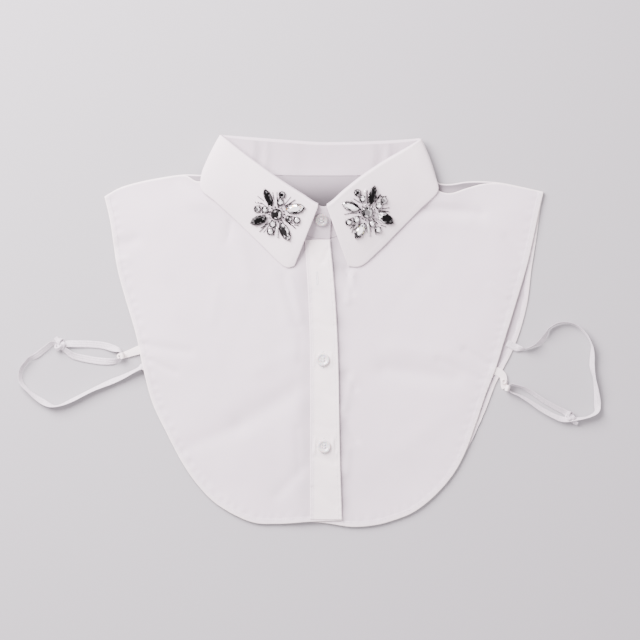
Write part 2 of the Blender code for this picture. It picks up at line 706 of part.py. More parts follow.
def make_stone(name, leaf, x, y, row):
    """Return one crystal on the leaf: round, or with two pointed ends."""
    kind, _, _, length, width, turn = row
    height = STONE_HEIGHTS[kind]
    point, normal = surface_point(leaf, x, y)
    pointed = kind == "leaf"

    def outline(share, angle):
        across = share * width / 2 * math.sin(angle)
        if pointed:
            across *= abs(math.sin(angle)) ** POINTED_ENDS
        return share * length / 2 * math.cos(angle), across

    profile = (
        (FOOT_SHARE, 0.0),
        (1.0, GIRDLE_SHARE * height),
        (TABLE_SHARE, height),
    )
    finish = "smoke_crystal" if name in DARK_STONES else "clear_crystal"
    seat = point + normal * STONE_SEAT
    return turned(name, profile, STONE_SIDES, outline, seat, axes_on(normal, turn), finish)


def make_knot(name, row):
    """Return a tied knot as a rounded lump that lies on the table."""
    x, y, half_length, half_width, height, turn = row
    profile = []
    for ring in range(KNOT_RINGS + 1):
        angle = math.pi * (KNOT_END + (1 - 2 * KNOT_END) * ring / KNOT_RINGS)
        profile.append((math.sin(angle), height * (1 - math.cos(angle)) / 2))

    def outline(share, angle):
        return share * half_length * math.cos(angle), share * half_width * math.sin(angle)

    seat = np.array((x, y, TIE_CLEAR))
    axes = axes_on((0.0, 0.0, 1.0), turn)
    return turned(name, profile, KNOT_SIDES, outline, seat, axes, "elastic")


def make_cloth():
    """Build the panels, the placket and the collar, and return what carries trims."""
    front_right = front_plan(
        FRONT_RIGHT_ARMHOLE, FRONT_RIGHT_HEM, FREE_EDGE, FRONT_RIGHT_SHOULDER,
        STAND_ROWS[FIRST_BACK_ROW - 1::-1],
    )
    front_left = front_plan(
        FRONT_LEFT_ARMHOLE, FRONT_LEFT_HEM, UNDER_EDGE, FRONT_LEFT_SHOULDER,
        STAND_ROWS[LAST_BACK_ROW + 1:],
    )
    make_panel("back_panel", back_plan(), back_height, "poplin")
    make_panel("front_panel_right", front_right, right_front_height, "poplin")
    make_panel("front_panel_left", front_left, left_front_height, "poplin")
    placket = make_panel("front_placket", placket_plan(), placket_height, "poplin")
    return placket, make_stand(), make_leaf()


def make_ties():
    """Build the elastic ties, their knots and the tabs that hold them."""
    bands = (
        ("tie_right_outer", TIE_RIGHT_OUTER),
        ("tie_right_double", TIE_RIGHT_DOUBLE),
        ("tie_left_outer", TIE_LEFT_OUTER),
        ("tie_left_double", TIE_LEFT_DOUBLE),
    )
    for name, rows in bands:
        make_band(name, rows, TIE_WIDTH, TIE_THICK, "elastic")
    make_band("tab_right", TAB_RIGHT, TAB_RIGHT_WIDTH, TAB_THICK, "poplin")
    make_band("tab_left", TAB_LEFT, TAB_LEFT_WIDTH, TAB_THICK, "poplin")
    for name, row in KNOTS.items():
        make_knot(name, row)


def main():
    """Build the whole garment."""
    for thing in list(bpy.data.objects):
        bpy.data.objects.remove(thing)
    placket, stand, leaf = make_cloth()
    make_button("button_collar", stand, *COLLAR_BUTTON)
    for name, x, y in BUTTON_ROWS:
        make_button(name, placket, x, y)
    for name, ((middle_x, middle_y), rows) in CLUSTERS.items():
        for number, row in enumerate(rows, start=1):
            make_stone(f"{name}_{number:02d}", leaf, middle_x + row[1], middle_y + row[2], row)
    make_ties()


main()
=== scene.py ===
"""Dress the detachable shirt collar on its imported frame.

Fine cloth with hems, creases and stitches, cut crystals in claw settings, buttons with
thread, and ribbed elastic ties replace the plain solids. Tables and sizes are in
millimetres in the frame of the part: X to the wearer's left, Y from the hem up to the
neck and Z up from the table. Meshes are made in metres.
"""

import logging
import math
from collections.abc import Callable, Sequence
from dataclasses import dataclass, field
from enum import Enum

import bmesh
import bpy
import numpy as np
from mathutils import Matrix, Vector
from mathutils.bvhtree import BVHTree


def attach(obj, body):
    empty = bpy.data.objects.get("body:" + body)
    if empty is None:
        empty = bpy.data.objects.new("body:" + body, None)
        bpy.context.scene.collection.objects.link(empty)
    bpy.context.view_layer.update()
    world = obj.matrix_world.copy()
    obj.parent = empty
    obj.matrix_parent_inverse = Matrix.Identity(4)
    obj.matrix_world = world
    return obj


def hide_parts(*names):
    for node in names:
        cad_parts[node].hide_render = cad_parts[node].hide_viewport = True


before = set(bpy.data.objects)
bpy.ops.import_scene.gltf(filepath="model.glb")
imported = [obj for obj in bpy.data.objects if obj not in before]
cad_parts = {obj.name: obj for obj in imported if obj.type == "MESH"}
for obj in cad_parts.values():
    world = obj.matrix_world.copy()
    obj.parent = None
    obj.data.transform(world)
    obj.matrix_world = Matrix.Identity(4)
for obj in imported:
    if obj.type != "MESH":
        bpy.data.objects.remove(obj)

LOG = logging.getLogger("collar")
BODY = "root"
MM = 0.001

Grid = np.ndarray
Height = Callable[[np.ndarray, np.ndarray], np.ndarray]
Rows = Sequence[tuple[float, ...]]

# Cloth, as in the solids
WALL = 1.0
SEAM_GAP = 0.3
EDGE_GAP = 0.5
PUFF = 1.8
PUFF_RISE = 0.25
SHOULDER_Y = 138.0
SHOULDER_FADE = 45.0
LAP_RISE = 1.6
LAP_START = -45.0
LAP_WIDTH = 25.0
NECK_INSET = 0.8
TABLE_CLEAR = 0.05
FULL_ROLL = 2.4
LEAF_CROWN = 1.2
STONE_SEAT = 0.45

# The garment's outline is close to half an ellipse below the shoulders
BODY_CENTRE_X = 3.0
BODY_HALF_WIDTH = 205.0
BODY_TOP_Y = 120.0
BODY_DEPTH = 290.0

# The back panel climbs over the collar leaf that lies under its neckline
LEAF_STEP = 1.4
LEAF_STEP_Y = 104.0
LEAF_STEP_FADE = 14.0
LEAF_STEP_HALF_WIDTH = 113.0
LEAF_STEP_SIDE_FADE = 25.0

# Row: seam x, seam y, share of the front layer, roll x, roll y, roll z, roll radius
STAND_ROWS = (
    (5.6, 83.2, 1.0, 7.0, 111.6, 18.6, 2.4),
    (-7.0, 83.9, 1.0, -5.3, 113.2, 18.9, 2.4),
    (-24.0, 89.5, 1.0, -19.0, 121.8, 18.4, 2.4),
    (-46.0, 101.5, 1.0, -37.0, 133.4, 17.2, 2.4),
    (-67.0, 117.0, 1.0, -57.5, 148.0, 15.2, 2.4),
    (-84.0, 131.5, 1.0, -76.0, 162.0, 12.6, 2.4),
    (-94.5, 140.5, 0.9, -87.5, 171.3, 10.8, 1.9),
    (-99.5, 145.3, 0.55, -92.4, 174.9, 8.0, 1.3),
    (-99.0, 147.3, 0.2, -91.5, 175.2, 5.3, 1.3),
    (-92.0, 146.6, 0.0, -84.5, 174.8, 3.8, 1.8),
    (-68.0, 143.2, 0.0, -60.0, 173.1, 3.3, 2.4),
    (-38.0, 140.5, 0.0, -30.0, 170.9, 3.2, 2.4),
    (-2.0, 140.1, 0.0, -2.0, 169.2, 3.2, 2.4),
    (36.0, 140.4, 0.0, 36.0, 169.7, 3.2, 2.4),
    (64.0, 141.9, 0.0, 62.0, 170.8, 3.3, 2.4),
    (86.0, 143.2, 0.0, 79.0, 171.8, 3.8, 1.8),
    (92.6, 142.9, 0.2, 85.3, 172.1, 5.3, 1.3),
    (93.1, 140.6, 0.55, 86.2, 171.4, 8.0, 1.3),
    (88.0, 135.5, 0.9, 81.3, 168.0, 10.8, 1.5),
    (78.0, 126.5, 1.0, 70.5, 161.8, 12.6, 2.4),
    (61.5, 113.5, 1.0, 53.0, 151.5, 15.2, 2.4),
    (41.5, 99.5, 1.0, 35.0, 139.3, 17.0, 2.4),
    (21.0, 88.5, 1.0, 18.0, 125.8, 17.8, 2.4),
    (3.5, 83.8, 1.0, 2.6, 112.9, 17.0, 2.4),
    (-11.0, 83.2, 1.0, -11.5, 111.4, 16.4, 2.4),
)
FIRST_BACK_ROW = 8
LAST_BACK_ROW = 16

# Row: edge x, edge y, share of the front layer, lift; one for each stand row but its ends
LEAF_ROWS = (
    (-26.6, 58.4, 1.0, 0.4),
    (-33.5, 57.2, 1.0, 0.4),
    (-56.0, 77.2, 1.0, 0.8),
    (-79.0, 99.2, 1.0, 0.8),
    (-98.0, 116.5, 1.0, 0.5),
    (-110.2, 127.2, 1.0, 0.3),
    (-110.6, 136.0, 0.95, 0.4),
    (-106.4, 148.2, 0.45, 0.1),
    (-98.0, 148.0, 0.0, 0.1),
    (-70.0, 135.0, 0.0, 0.1),
    (-34.0, 127.0, 0.0, 0.1),
    (-2.0, 124.5, 0.0, 0.1),
    (38.0, 126.0, 0.0, 0.1),
    (66.0, 132.0, 0.0, 0.1),
    (90.0, 145.0, 0.0, 0.1),
    (96.6, 145.0, 0.45, 0.1),
    (100.9, 134.6, 0.95, 0.4),
    (102.4, 126.0, 1.0, 0.3),
    (86.0, 109.1, 1.0, 0.8),
    (67.0, 89.9, 1.0, 0.8),
    (48.5, 71.3, 1.0, 0.8),
    (32.5, 58.2, 1.0, 0.4),
    (21.6, 58.2, 1.0, 0.4),
)

# Outline points: x, y
FRONT_RIGHT_ARMHOLE = (
    (-138.5, -98.0), (-154.0, -65.5), (-162.0, -36.0), (-169.0, -3.5),
    (-179.0, 30.5), (-186.0, 57.0), (-192.5, 99.5), (-197.5, 121.0),
)
FRONT_RIGHT_HEM = (
    (-138.5, -98.0), (-127.5, -118.5), (-114.0, -138.0), (-96.0, -156.0),
    (-64.5, -172.0), (-42.0, -173.5), (-12.5, -171.5), (16.5, -170.3),
)
FREE_EDGE = ((16.5, -170.3), (14.0, -91.0), (12.9, -19.0), (9.9, 36.0), (5.7, 82.4))
FRONT_RIGHT_SHOULDER = (
    (-197.5, 121.0), (-186.0, 127.5), (-170.0, 132.8), (-142.0, 138.2),
    (-125.0, 140.0), (-114.0, 134.5), (-105.0, 136.5),
)
FRONT_LEFT_ARMHOLE = (
    (137.7, -80.1), (145.3, -57.4), (154.8, -32.4), (162.5, -7.2), (169.7, 15.8),
    (182.5, 58.8), (187.6, 80.4), (194.0, 110.7), (197.5, 125.0),
)
FRONT_LEFT_HEM = (
    (137.7, -80.1), (126.9, -109.4), (115.7, -129.6), (97.7, -149.9), (79.7, -163.4),
    (61.7, -170.6), (48.2, -174.2), (25.7, -176.2), (1.8, -172.8), (-13.0, -171.5),
)
UNDER_EDGE = ((-13.0, -171.5), (-12.5, -19.0), (-12.0, 36.0), (-11.3, 82.4))
FRONT_LEFT_SHOULDER = (
    (197.5, 125.0), (173.7, 130.2), (158.0, 133.0), (143.0, 132.3),
    (128.7, 128.5), (113.0, 123.8), (103.5, 126.0), (97.5, 133.0),
)
BACK_RIGHT_ARMHOLE = (
    (-137.0, -97.0), (-152.0, -65.0), (-160.3, -36.0), (-167.3, -3.5),
    (-177.3, 30.5), (-184.3, 57.0), (-191.0, 99.5), (-196.3, 121.2),
)
BACK_LEFT_ARMHOLE = (
    (136.5, -82.0), (140.4, -80.7), (154.8, -46.8), (160.5, -35.7), (172.5, -10.8),
    (182.5, 23.0), (186.8, 55.8), (191.7, 87.3), (194.6, 110.7), (197.5, 125.3),
)
BACK_HEM = (
    (-137.0, -97.0), (-112.5, -136.0), (-94.5, -154.0), (-63.5, -169.5),
    (-20.0, -171.0), (25.0, -173.0), (61.0, -168.5), (96.5, -148.5),
    (125.5, -108.5), (136.5, -82.0),
)
BACK_RIGHT_SHOULDER = (
    (-196.3, 121.2), (-186.0, 127.9), (-170.0, 133.2), (-142.0, 138.8),
    (-125.0, 140.9), (-109.0, 140.6), (-103.0, 142.6),
)
BACK_LEFT_SHOULDER = (
    (97.5, 137.3), (103.5, 133.0), (115.2, 132.3), (125.0, 134.1), (137.7, 134.8),
    (158.0, 133.6), (173.7, 130.6), (197.5, 125.3),
)

# Row: y, left x, right x
PLACKET_ROWS = (
    (-169.2, -12.6, 16.0),
    (-116.0, -12.6, 14.4),
    (-19.0, -12.6, 12.4),
    (34.2, -14.4, 9.5),
    (81.8, -17.4, 5.2),
)

# Row: x, y, height, radius, where the cloth stands up over what holds it open
LIFTS = (
    (-88.0, 134.0, 2.6, 28.0),
    (84.0, 131.0, 2.6, 28.0),
    (-158.0, -27.0, 1.8, 26.0),
)

# Row: x, y, x, y at the ends, height, half width
RIGHT_FOLDS = (
    (-17.0, -50.0, -125.0, -107.0, -1.4, 13.0),
    (-20.0, -120.0, -42.0, -150.0, -0.8, 8.0),
    (-84.0, 98.0, -88.0, 80.0, -0.6, 4.5),
    (-76.0, 82.0, -68.0, 46.0, 0.8, 7.0),
)
LEFT_FOLDS = (
    (90.0, 111.0, 140.0, 106.0, -1.0, 9.0),
    (55.0, -34.0, 118.0, -42.0, -1.2, 11.0),
    (127.0, -17.0, 149.0, -32.0, -0.7, 6.0),
    (26.0, 50.0, 24.0, 28.0, 0.5, 5.0),
    (26.0, -40.0, 24.0, -62.0, 0.5, 5.0),
)
FOLD_CLEAR_RIGHT = -18.0
FOLD_CLEAR_LEFT = 18.0
FOLD_FADE = 12.0
PLACKET_SHADE_WIDTH = 38.0

# Row: x, y, tilt of the band in degrees, height above the table
TIE_RIGHT_OUTER = (
    (-155.5, -29.5, 0.0, 1.35), (-163.0, -32.0, 18.0, 1.35), (-168.0, -34.5, 66.0, 1.3),
    (-181.5, -41.4, 52.0, 0.3), (-190.0, -45.0, 42.0, 0.3), (-208.8, -53.1, 62.0, 0.3),
    (-227.3, -62.5, 62.0, 0.3), (-240.0, -67.4, 80.0, 0.3), (-252.9, -63.5, 38.0, 0.3),
    (-265.0, -54.5, 66.0, 0.3), (-272.6, -45.0, 56.0, 0.3), (-272.6, -35.5, 58.0, 0.3),
    (-267.5, -27.7, 62.0, 0.3), (-257.5, -21.2, 26.0, 0.3), (-250.2, -15.6, 34.0, 0.3),
    (-243.0, -11.0, 42.0, 0.3),
)
TIE_RIGHT_DOUBLE = (
    (-232.3, -17.6, 40.0, 0.3), (-226.0, -22.0, 20.0, 0.3), (-217.8, -24.3, 5.0, 0.3),
    (-204.3, -26.7, 0.0, 0.3), (-192.5, -27.5, 20.0, 0.3), (-184.5, -25.9, 65.0, 0.3),
    (-181.2, -22.0, 90.0, 0.3), (-183.4, -17.8, 65.0, 0.3), (-190.0, -15.3, 20.0, 0.3),
    (-199.8, -12.8, 0.0, 0.3), (-210.6, -11.8, 0.0, 0.3), (-220.0, -11.6, 5.0, 0.3),
    (-231.8, -11.6, 20.0, 0.3),
)
TIE_LEFT_OUTER = (
    (164.5, -10.5, 0.0, 1.35), (171.0, -14.0, 0.0, 1.35), (175.5, -15.7, 30.0, 1.0),
    (183.0, -15.7, 82.0, 0.3), (190.3, -12.6, 68.0, 0.3), (195.8, -8.5, 38.0, 0.3),
    (200.0, -2.5, 60.0, 0.3), (203.5, 3.0, 78.0, 0.3), (211.0, 6.9, 76.0, 0.3),
    (220.8, 7.2, 80.0, 0.3), (228.5, 4.0, 76.0, 0.3), (235.5, -3.0, 76.0, 0.3),
    (240.2, -11.0, 84.0, 0.3), (241.2, -22.0, 54.0, 0.3), (241.0, -31.0, 48.0, 0.3),
    (243.0, -42.0, 70.0, 0.3), (245.0, -55.0, 48.0, 0.3), (246.0, -66.0, 24.0, 0.3),
    (243.8, -73.9, 64.0, 0.3), (237.0, -77.4, 78.0, 0.3), (226.4, -79.0, 62.0, 0.3),
)
TIE_LEFT_DOUBLE = (
    (214.0, -79.2, 40.0, 0.3), (207.0, -76.5, 45.0, 0.3), (195.4, -70.2, 50.0, 0.3),
    (184.0, -62.6, 60.0, 0.3), (174.0, -57.2, 76.0, 0.3), (168.6, -55.0, 82.0, 0.3),
    (165.2, -51.6, 90.0, 0.3), (167.6, -48.2, 82.0, 0.3), (175.6, -49.6, 76.0, 0.3),
    (186.6, -55.2, 58.0, 0.3), (198.0, -63.0, 50.0, 0.3), (209.6, -69.4, 45.0, 0.3),
    (217.2, -73.3, 40.0, 0.3),
)

# Row: x, y, half length, half width, height, turn in degrees
KNOTS = {
    "tie_right_knot": (-237.0, -12.4, 6.4, 5.0, 6.2, 60.0),
    "tie_left_knot": (221.4, -77.4, 6.0, 4.6, 6.0, -65.0),
}

# Row: x, y, tilt of the strip in degrees, height above the table
TAB_RIGHT_WIDTH = 8.0
TAB_RIGHT = (
    (-167.0, -17.2, 0.0, 1.6), (-172.0, -18.9, 0.0, 1.4), (-179.8, -21.9, 0.0, 0.9),
)
TAB_LEFT_WIDTH = 5.0
TAB_LEFT = (
    (157.9, -43.9, 0.0, 0.15), (159.8, -45.8, 0.0, 0.15), (162.1, -48.8, 0.0, 0.15),
    (161.8, -52.6, 0.0, 0.15),
)

# Row: x, y of a button on the placket
BUTTON_ROWS = (("button_upper", -1.1, -25.6), ("button_lower", 0.0, -103.5))
COLLAR_BUTTON = (-2.2, 99.9)

STONE_HEIGHTS = {"centre": 3.6, "leaf": 2.8, "round": 2.6}

# Row: kind, x and y from the middle of the cluster, length, width, turn in degrees
CLUSTERS = {
    "stone_right": ((-42.3, 104.7), (
        ("centre", 0.0, 0.0, 9.6, 9.6, 0.0),
        ("leaf", -7.4, 15.0, 16.0, 6.0, 113.0),
        ("leaf", -15.9, -5.2, 15.5, 7.8, 20.0),
        ("leaf", 7.3, -15.4, 17.0, 8.0, -65.0),
        ("leaf", 16.7, 4.8, 16.6, 8.6, 8.0),
        ("round", 4.9, 17.3, 5.5, 5.5, 0.0),
        ("round", 3.5, 10.5, 5.5, 5.5, 0.0),
        ("round", -17.3, 4.8, 5.5, 5.5, 0.0),
        ("round", -10.4, 4.3, 5.5, 5.5, 0.0),
        ("round", 10.8, -4.5, 5.5, 5.5, 0.0),
        ("round", 18.0, -5.4, 5.5, 5.5, 0.0),
        ("round", -3.3, -8.9, 5.5, 5.5, 0.0),
        ("round", -5.6, -15.4, 5.5, 5.5, 0.0),
    )),
    "stone_left": ((38.4, 106.3), (
        ("centre", 0.0, 0.0, 9.6, 9.6, 0.0),
        ("leaf", 4.8, 15.2, 17.0, 6.0, 78.0),
        ("leaf", 16.6, -5.2, 16.0, 8.4, -33.0),
        ("leaf", -6.2, -16.3, 15.5, 7.4, 60.0),
        ("leaf", -14.4, 5.3, 16.2, 7.8, -19.0),
        ("round", -8.7, 17.6, 5.5, 5.5, 0.0),
        ("round", -4.2, 12.1, 5.5, 5.5, 0.0),
        ("round", 14.9, 10.6, 5.5, 5.5, 0.0),
        ("round", 10.6, 6.0, 5.5, 5.5, 0.0),
        ("round", -16.4, -8.6, 5.5, 5.5, 0.0),
        ("round", -9.6, -6.4, 5.5, 5.5, 0.0),
        ("round", 4.3, -10.0, 5.5, 5.5, 0.0),
        ("round", 9.7, -15.4, 5.5, 5.5, 0.0),
    )),
}
DARK_STONES = ("stone_right_02", "stone_right_03", "stone_left_02", "stone_left_03")
# Row: x, y, length of an upright buttonhole in the placket
BUTTONHOLES = (
    (-6.3, 47.7, 11.5), (-1.1, -25.6, 15.5), (0.0, -103.5, 15.5),
)
# The tabs' strips from under the hems, row: x, y, tilt, height above the table
STRIP_RIGHT = (
    (-162.0, -15.6, 0.0, 1.6), (-168.5, -17.7, 0.0, 1.5), (-174.0, -19.7, 0.0, 1.3),
    (-181.0, -22.2, 0.0, 0.9),
)
STRIP_LEFT = (
    (153.6, -35.6, 0.0, 1.12), (157.6, -37.2, 0.0, 1.12), (160.8, -40.4, 0.0, 1.1),
    (161.9, -45.2, 0.0, 0.9), (161.9, -49.4, 0.0, 0.4), (162.8, -51.4, 0.0, 0.3),
)

# Fine creases of the cloth, row: x, y, x, y at the ends, height, half width
FINE_RIGHT_FOLDS = (
    (-22.0, -52.0, -76.0, -86.0, -1.1, 9.0), (-76.0, -86.0, -126.0, -106.0, -0.8, 7.0),
    (-18.0, -122.0, -42.0, -148.0, -0.8, 5.0), (-28.0, -20.0, -60.0, -34.0, 0.6, 8.0),
    (-150.0, 60.0, -118.0, -30.0, 0.35, 9.0), (-60.0, 30.0, -88.0, -30.0, -0.35, 9.0),
    (-190.0, 73.0, -170.0, 82.0, -1.12, 5.0),
    (-186.0, 62.0, -176.0, 64.0, 0.64, 3.5),
    (-164.0, -12.6, -121.0, -19.0, -0.96, 4.5),
    (-161.0, -24.3, -134.0, -37.0, -0.8, 3.5),
    (-83.7, 98.0, -86.4, 82.0, -0.72, 1.3),
    (-131.0, 137.0, -98.0, 118.0, -1.12, 6.5),
    (-36.0, 48.0, -24.0, 4.0, -0.72, 3.2),
    (-30.0, 50.0, -20.5, 12.0, 0.64, 2.8),
    (-46.0, 54.0, -34.0, 10.0, 0.48, 4.0),
    (-21.0, 4.0, -22.0, -30.0, -0.48, 2.5),
    (-24.0, -88.0, -22.0, -130.0, -0.64, 3.0),
    (-120.0, -118.0, -92.0, -146.0, -0.64, 4.0),
    (-96.0, 40.0, -100.0, 12.0, 0.4, 5.0),
)
FINE_LEFT_FOLDS = (
    (56.0, -34.0, 116.0, -42.0, -0.8, 7.0), (60.0, -16.0, 110.0, -22.0, 0.5, 7.0),
    (100.0, 60.0, 60.0, 20.0, -0.35, 9.0), (120.0, -70.0, 60.0, -110.0, 0.4, 10.0),
    (91.0, 111.0, 141.0, 105.5, -0.96, 4.5),
    (96.0, 100.0, 128.0, 98.0, 0.56, 6.0),
    (104.0, -26.0, 140.0, -43.0, -0.64, 4.0),
    (127.0, -17.0, 149.0, -31.0, -0.8, 3.0),
    (20.0, 56.0, 25.0, 34.0, -1.28, 2.6),
    (26.0, 52.0, 21.0, 26.0, 1.12, 2.6),
    (20.0, -38.0, 28.0, -52.0, -0.96, 3.0),
    (24.0, -44.0, 19.0, -70.0, 0.96, 3.0),
    (20.0, -82.0, 29.0, -98.0, -0.96, 3.2),
    (22.0, -106.0, 20.0, -128.0, 0.72, 3.0),
    (164.0, 84.0, 176.0, 70.0, -0.64, 4.0),
    (150.0, 40.0, 164.0, 32.0, 0.48, 4.0),
)
BACK_FOLDS = (
    (-60.0, 128.0, -30.0, 104.0, -0.35, 7.0),
    (70.0, 128.0, 34.0, 110.0, -0.35, 7.0),
    (150.0, -40.0, 168.0, 10.0, -0.3, 4.0),
    (-120.0, -80.0, -40.0, -60.0, -0.4, 14.0),
    (110.0, -90.0, 30.0, -40.0, -0.4, 14.0),
)
PLACKET_FOLDS = (
    (-8.0, 70.0, -3.0, 62.0, -0.41, 2.4),
    (3.0, 72.0, -1.0, 62.0, -0.41, 2.4),
    (-9.0, -84.0, 8.0, -88.0, -0.34, 2.6),
    (-10.0, -112.0, 9.0, -118.0, -0.41, 3.0),
    (-8.0, -96.0, -10.0, -110.0, 0.34, 2.0),
    (9.0, -96.0, 10.5, -110.0, 0.34, 2.0),
    (-10.0, -142.0, 10.0, -158.0, -0.41, 3.4),
    (-8.6, -20.0, -8.8, -31.0, 0.47, 1.2), (6.6, -20.0, 6.4, -31.0, 0.47, 1.2),
    (-8.0, -98.0, -8.4, -109.0, 0.54, 1.2), (-10.4, -99.0, -10.8, -108.0, -0.47, 1.1),
    (7.8, -98.0, 8.2, -109.0, 0.54, 1.2), (10.2, -99.0, 10.6, -108.0, -0.47, 1.1),
    (-9.0, 36.0, 4.0, 31.0, -0.27, 3.0), (-8.0, 8.0, 9.0, 2.0, -0.27, 3.0),
    (-8.0, -52.0, 9.0, -60.0, -0.3, 3.4),
)
# Wrinkles across the back of the stand, row: x, height, half width
STAND_WRINKLES = (
    (-62.5, -1.3, 2.6), (-57.0, 1.1, 2.4), (-50.5, -0.9, 2.6), (45.0, -1.0, 2.8),
    (51.5, 1.2, 2.6), (58.5, -1.4, 2.6), (66.0, 1.0, 2.4), (8.0, 0.4, 7.0), (-24.0, -0.4, 6.0),
)
# Even unevenness of laid cloth, row: wave length, direction and phase in degrees, height
RIPPLES = (
    (63.0, 20.0, 10.0, 0.07), (47.0, 105.0, 75.0, 0.06), (34.0, 62.0, 200.0, 0.045),
    (28.0, 150.0, 310.0, 0.04), (19.0, 84.0, 130.0, 0.022), (14.5, 12.0, 40.0, 0.016),
)
# Distances from an edge at which a fine grid has lines
EDGE_PLACES = (
    0.0, 0.18, 0.45, 0.8, 1.2, 1.8, 2.4, 3.0, 3.5, 3.9, 4.3, 4.8, 5.5, 6.5, 7.8, 9.3,
)
# Painted light and shade on a stone's facets, row: direction of the painted dark side in degrees,
# how far in the dark starts, dark tone, light tone, colour of a fleck on a lit facet
FLECKS = {"none": (1.0, 1.0, 1.0), "amber": (0.62, 0.36, 0.12), "lime": (0.62, 0.66, 0.22)}
STONE_TONES = {
    "stone_right_01": (150.0, -0.1, 0.012, 0.85, "none"),
    "stone_right_02": (0.0, -2.0, 0.004, 0.25, "none"),
    "stone_right_03": (15.0, -0.1, 0.003, 0.07, "none"),
    "stone_right_04": (192.0, 0.0, 0.012, 0.95, "none"),
    "stone_right_05": (-70.0, 0.5, 0.02, 1.0, "amber"),
    "stone_left_01": (165.0, 0.2, 0.008, 0.9, "none"),
    "stone_left_02": (0.0, -2.0, 0.003, 0.15, "none"),
    "stone_left_03": (-20.0, -0.3, 0.003, 0.8, "none"),
    "stone_left_04": (-100.0, 0.7, 0.015, 1.0, "lime"),
    "stone_left_05": (50.0, 0.45, 0.01, 1.0, "none"),
}
ROUND_TONE = (200.0, 0.25, 0.02, 1.0, "none")
# Bugle beads and wires, row: x, y, x, y from the middle of the cluster, radius
PINS = {
    "stone_right": (
        (0.3, -11.0, 0.9, -20.6, 0.8), (-9.6, 16.0, -7.1, 6.6, 0.42),
        (0.2, 15.6, 1.2, 6.0, 0.42), (7.2, 7.0, 16.8, 13.0, 0.35), (2.0, 13.4, 3.0, 19.6, 0.3),
        (-14.5, -12.2, -5.6, -7.2, 0.35), (10.6, -7.4, 17.0, -12.8, 0.35),
        (-12.6, 9.6, -19.4, 11.0, 0.35), (-9.0, -9.6, -15.6, -15.6, 0.3),
        (-6.0, 2.0, -13.0, 0.6, 0.4), (5.2, -6.2, 6.0, -9.8, 0.4), (9.0, -1.2, 14.4, -2.2, 0.35),
        (-2.4, 13.0, -3.6, 19.6, 0.3), (-1.4, -12.0, -2.6, -19.0, 0.3),
        (13.6, -9.0, 19.6, -10.4, 0.3), (-11.6, 12.0, -17.2, 16.2, 0.28),
    ),
    "stone_left": (
        (-1.9, 20.4, -1.4, 11.6, 0.8), (0.9, -10.6, 2.0, -20.6, 0.8),
        (9.8, 1.5, 19.6, 1.1, 0.42), (7.4, 9.6, 12.0, 16.6, 0.45),
        (1.8, 16.6, 0.4, 7.2, 0.4), (-10.0, -10.8, -15.6, -14.6, 0.35),
        (12.2, -11.2, 17.2, -12.8, 0.3), (-11.0, 0.0, -20.4, -1.8, 0.3),
        (8.0, 18.6, 8.6, 11.4, 0.4), (-6.4, 8.6, -12.0, 12.2, 0.35), (13.4, 3.2, 20.2, 4.4, 0.3),
        (-6.6, -3.0, -13.2, -5.2, 0.4), (5.4, -5.4, 9.6, -10.2, 0.4),
        (12.0, 14.0, 17.6, 14.6, 0.3), (-11.2, -11.8, -13.8, -18.2, 0.28),
        (6.6, -13.4, 7.8, -19.8, 0.3),
    ),
}
BEAD_RADIUS = 0.7
# Knobs of metal round the middle stone: how many, their circle's radius and their own
KNOBS = (14, 6.8, 0.95)
WIRES = 22


class Slot(Enum):
    """Material slots of the record."""

    POPLIN = "poplin"
    ELASTIC = "elastic"
    BUTTON = "button"
    CLEAR = "clear_crystal"
    SMOKE = "smoke_crystal"


class StoneKind(Enum):
    """Cuts of the crystals."""

    CENTRE = "centre"
    LEAF = "leaf"
    ROUND = "round"


def principled(name: str, sockets: dict[str, object]) -> bpy.types.Material:
    """Make a material with constant values on its shader's sockets.

    Args:
        name: The material's name.
        sockets: Values by socket name.

    Returns:
        The new material.
    """
    material = bpy.data.materials.new(name)
    material.use_nodes = True
    shader = material.node_tree.nodes["Principled BSDF"]
    for socket, value in sockets.items():
        shader.inputs[socket].default_value = value
    return material


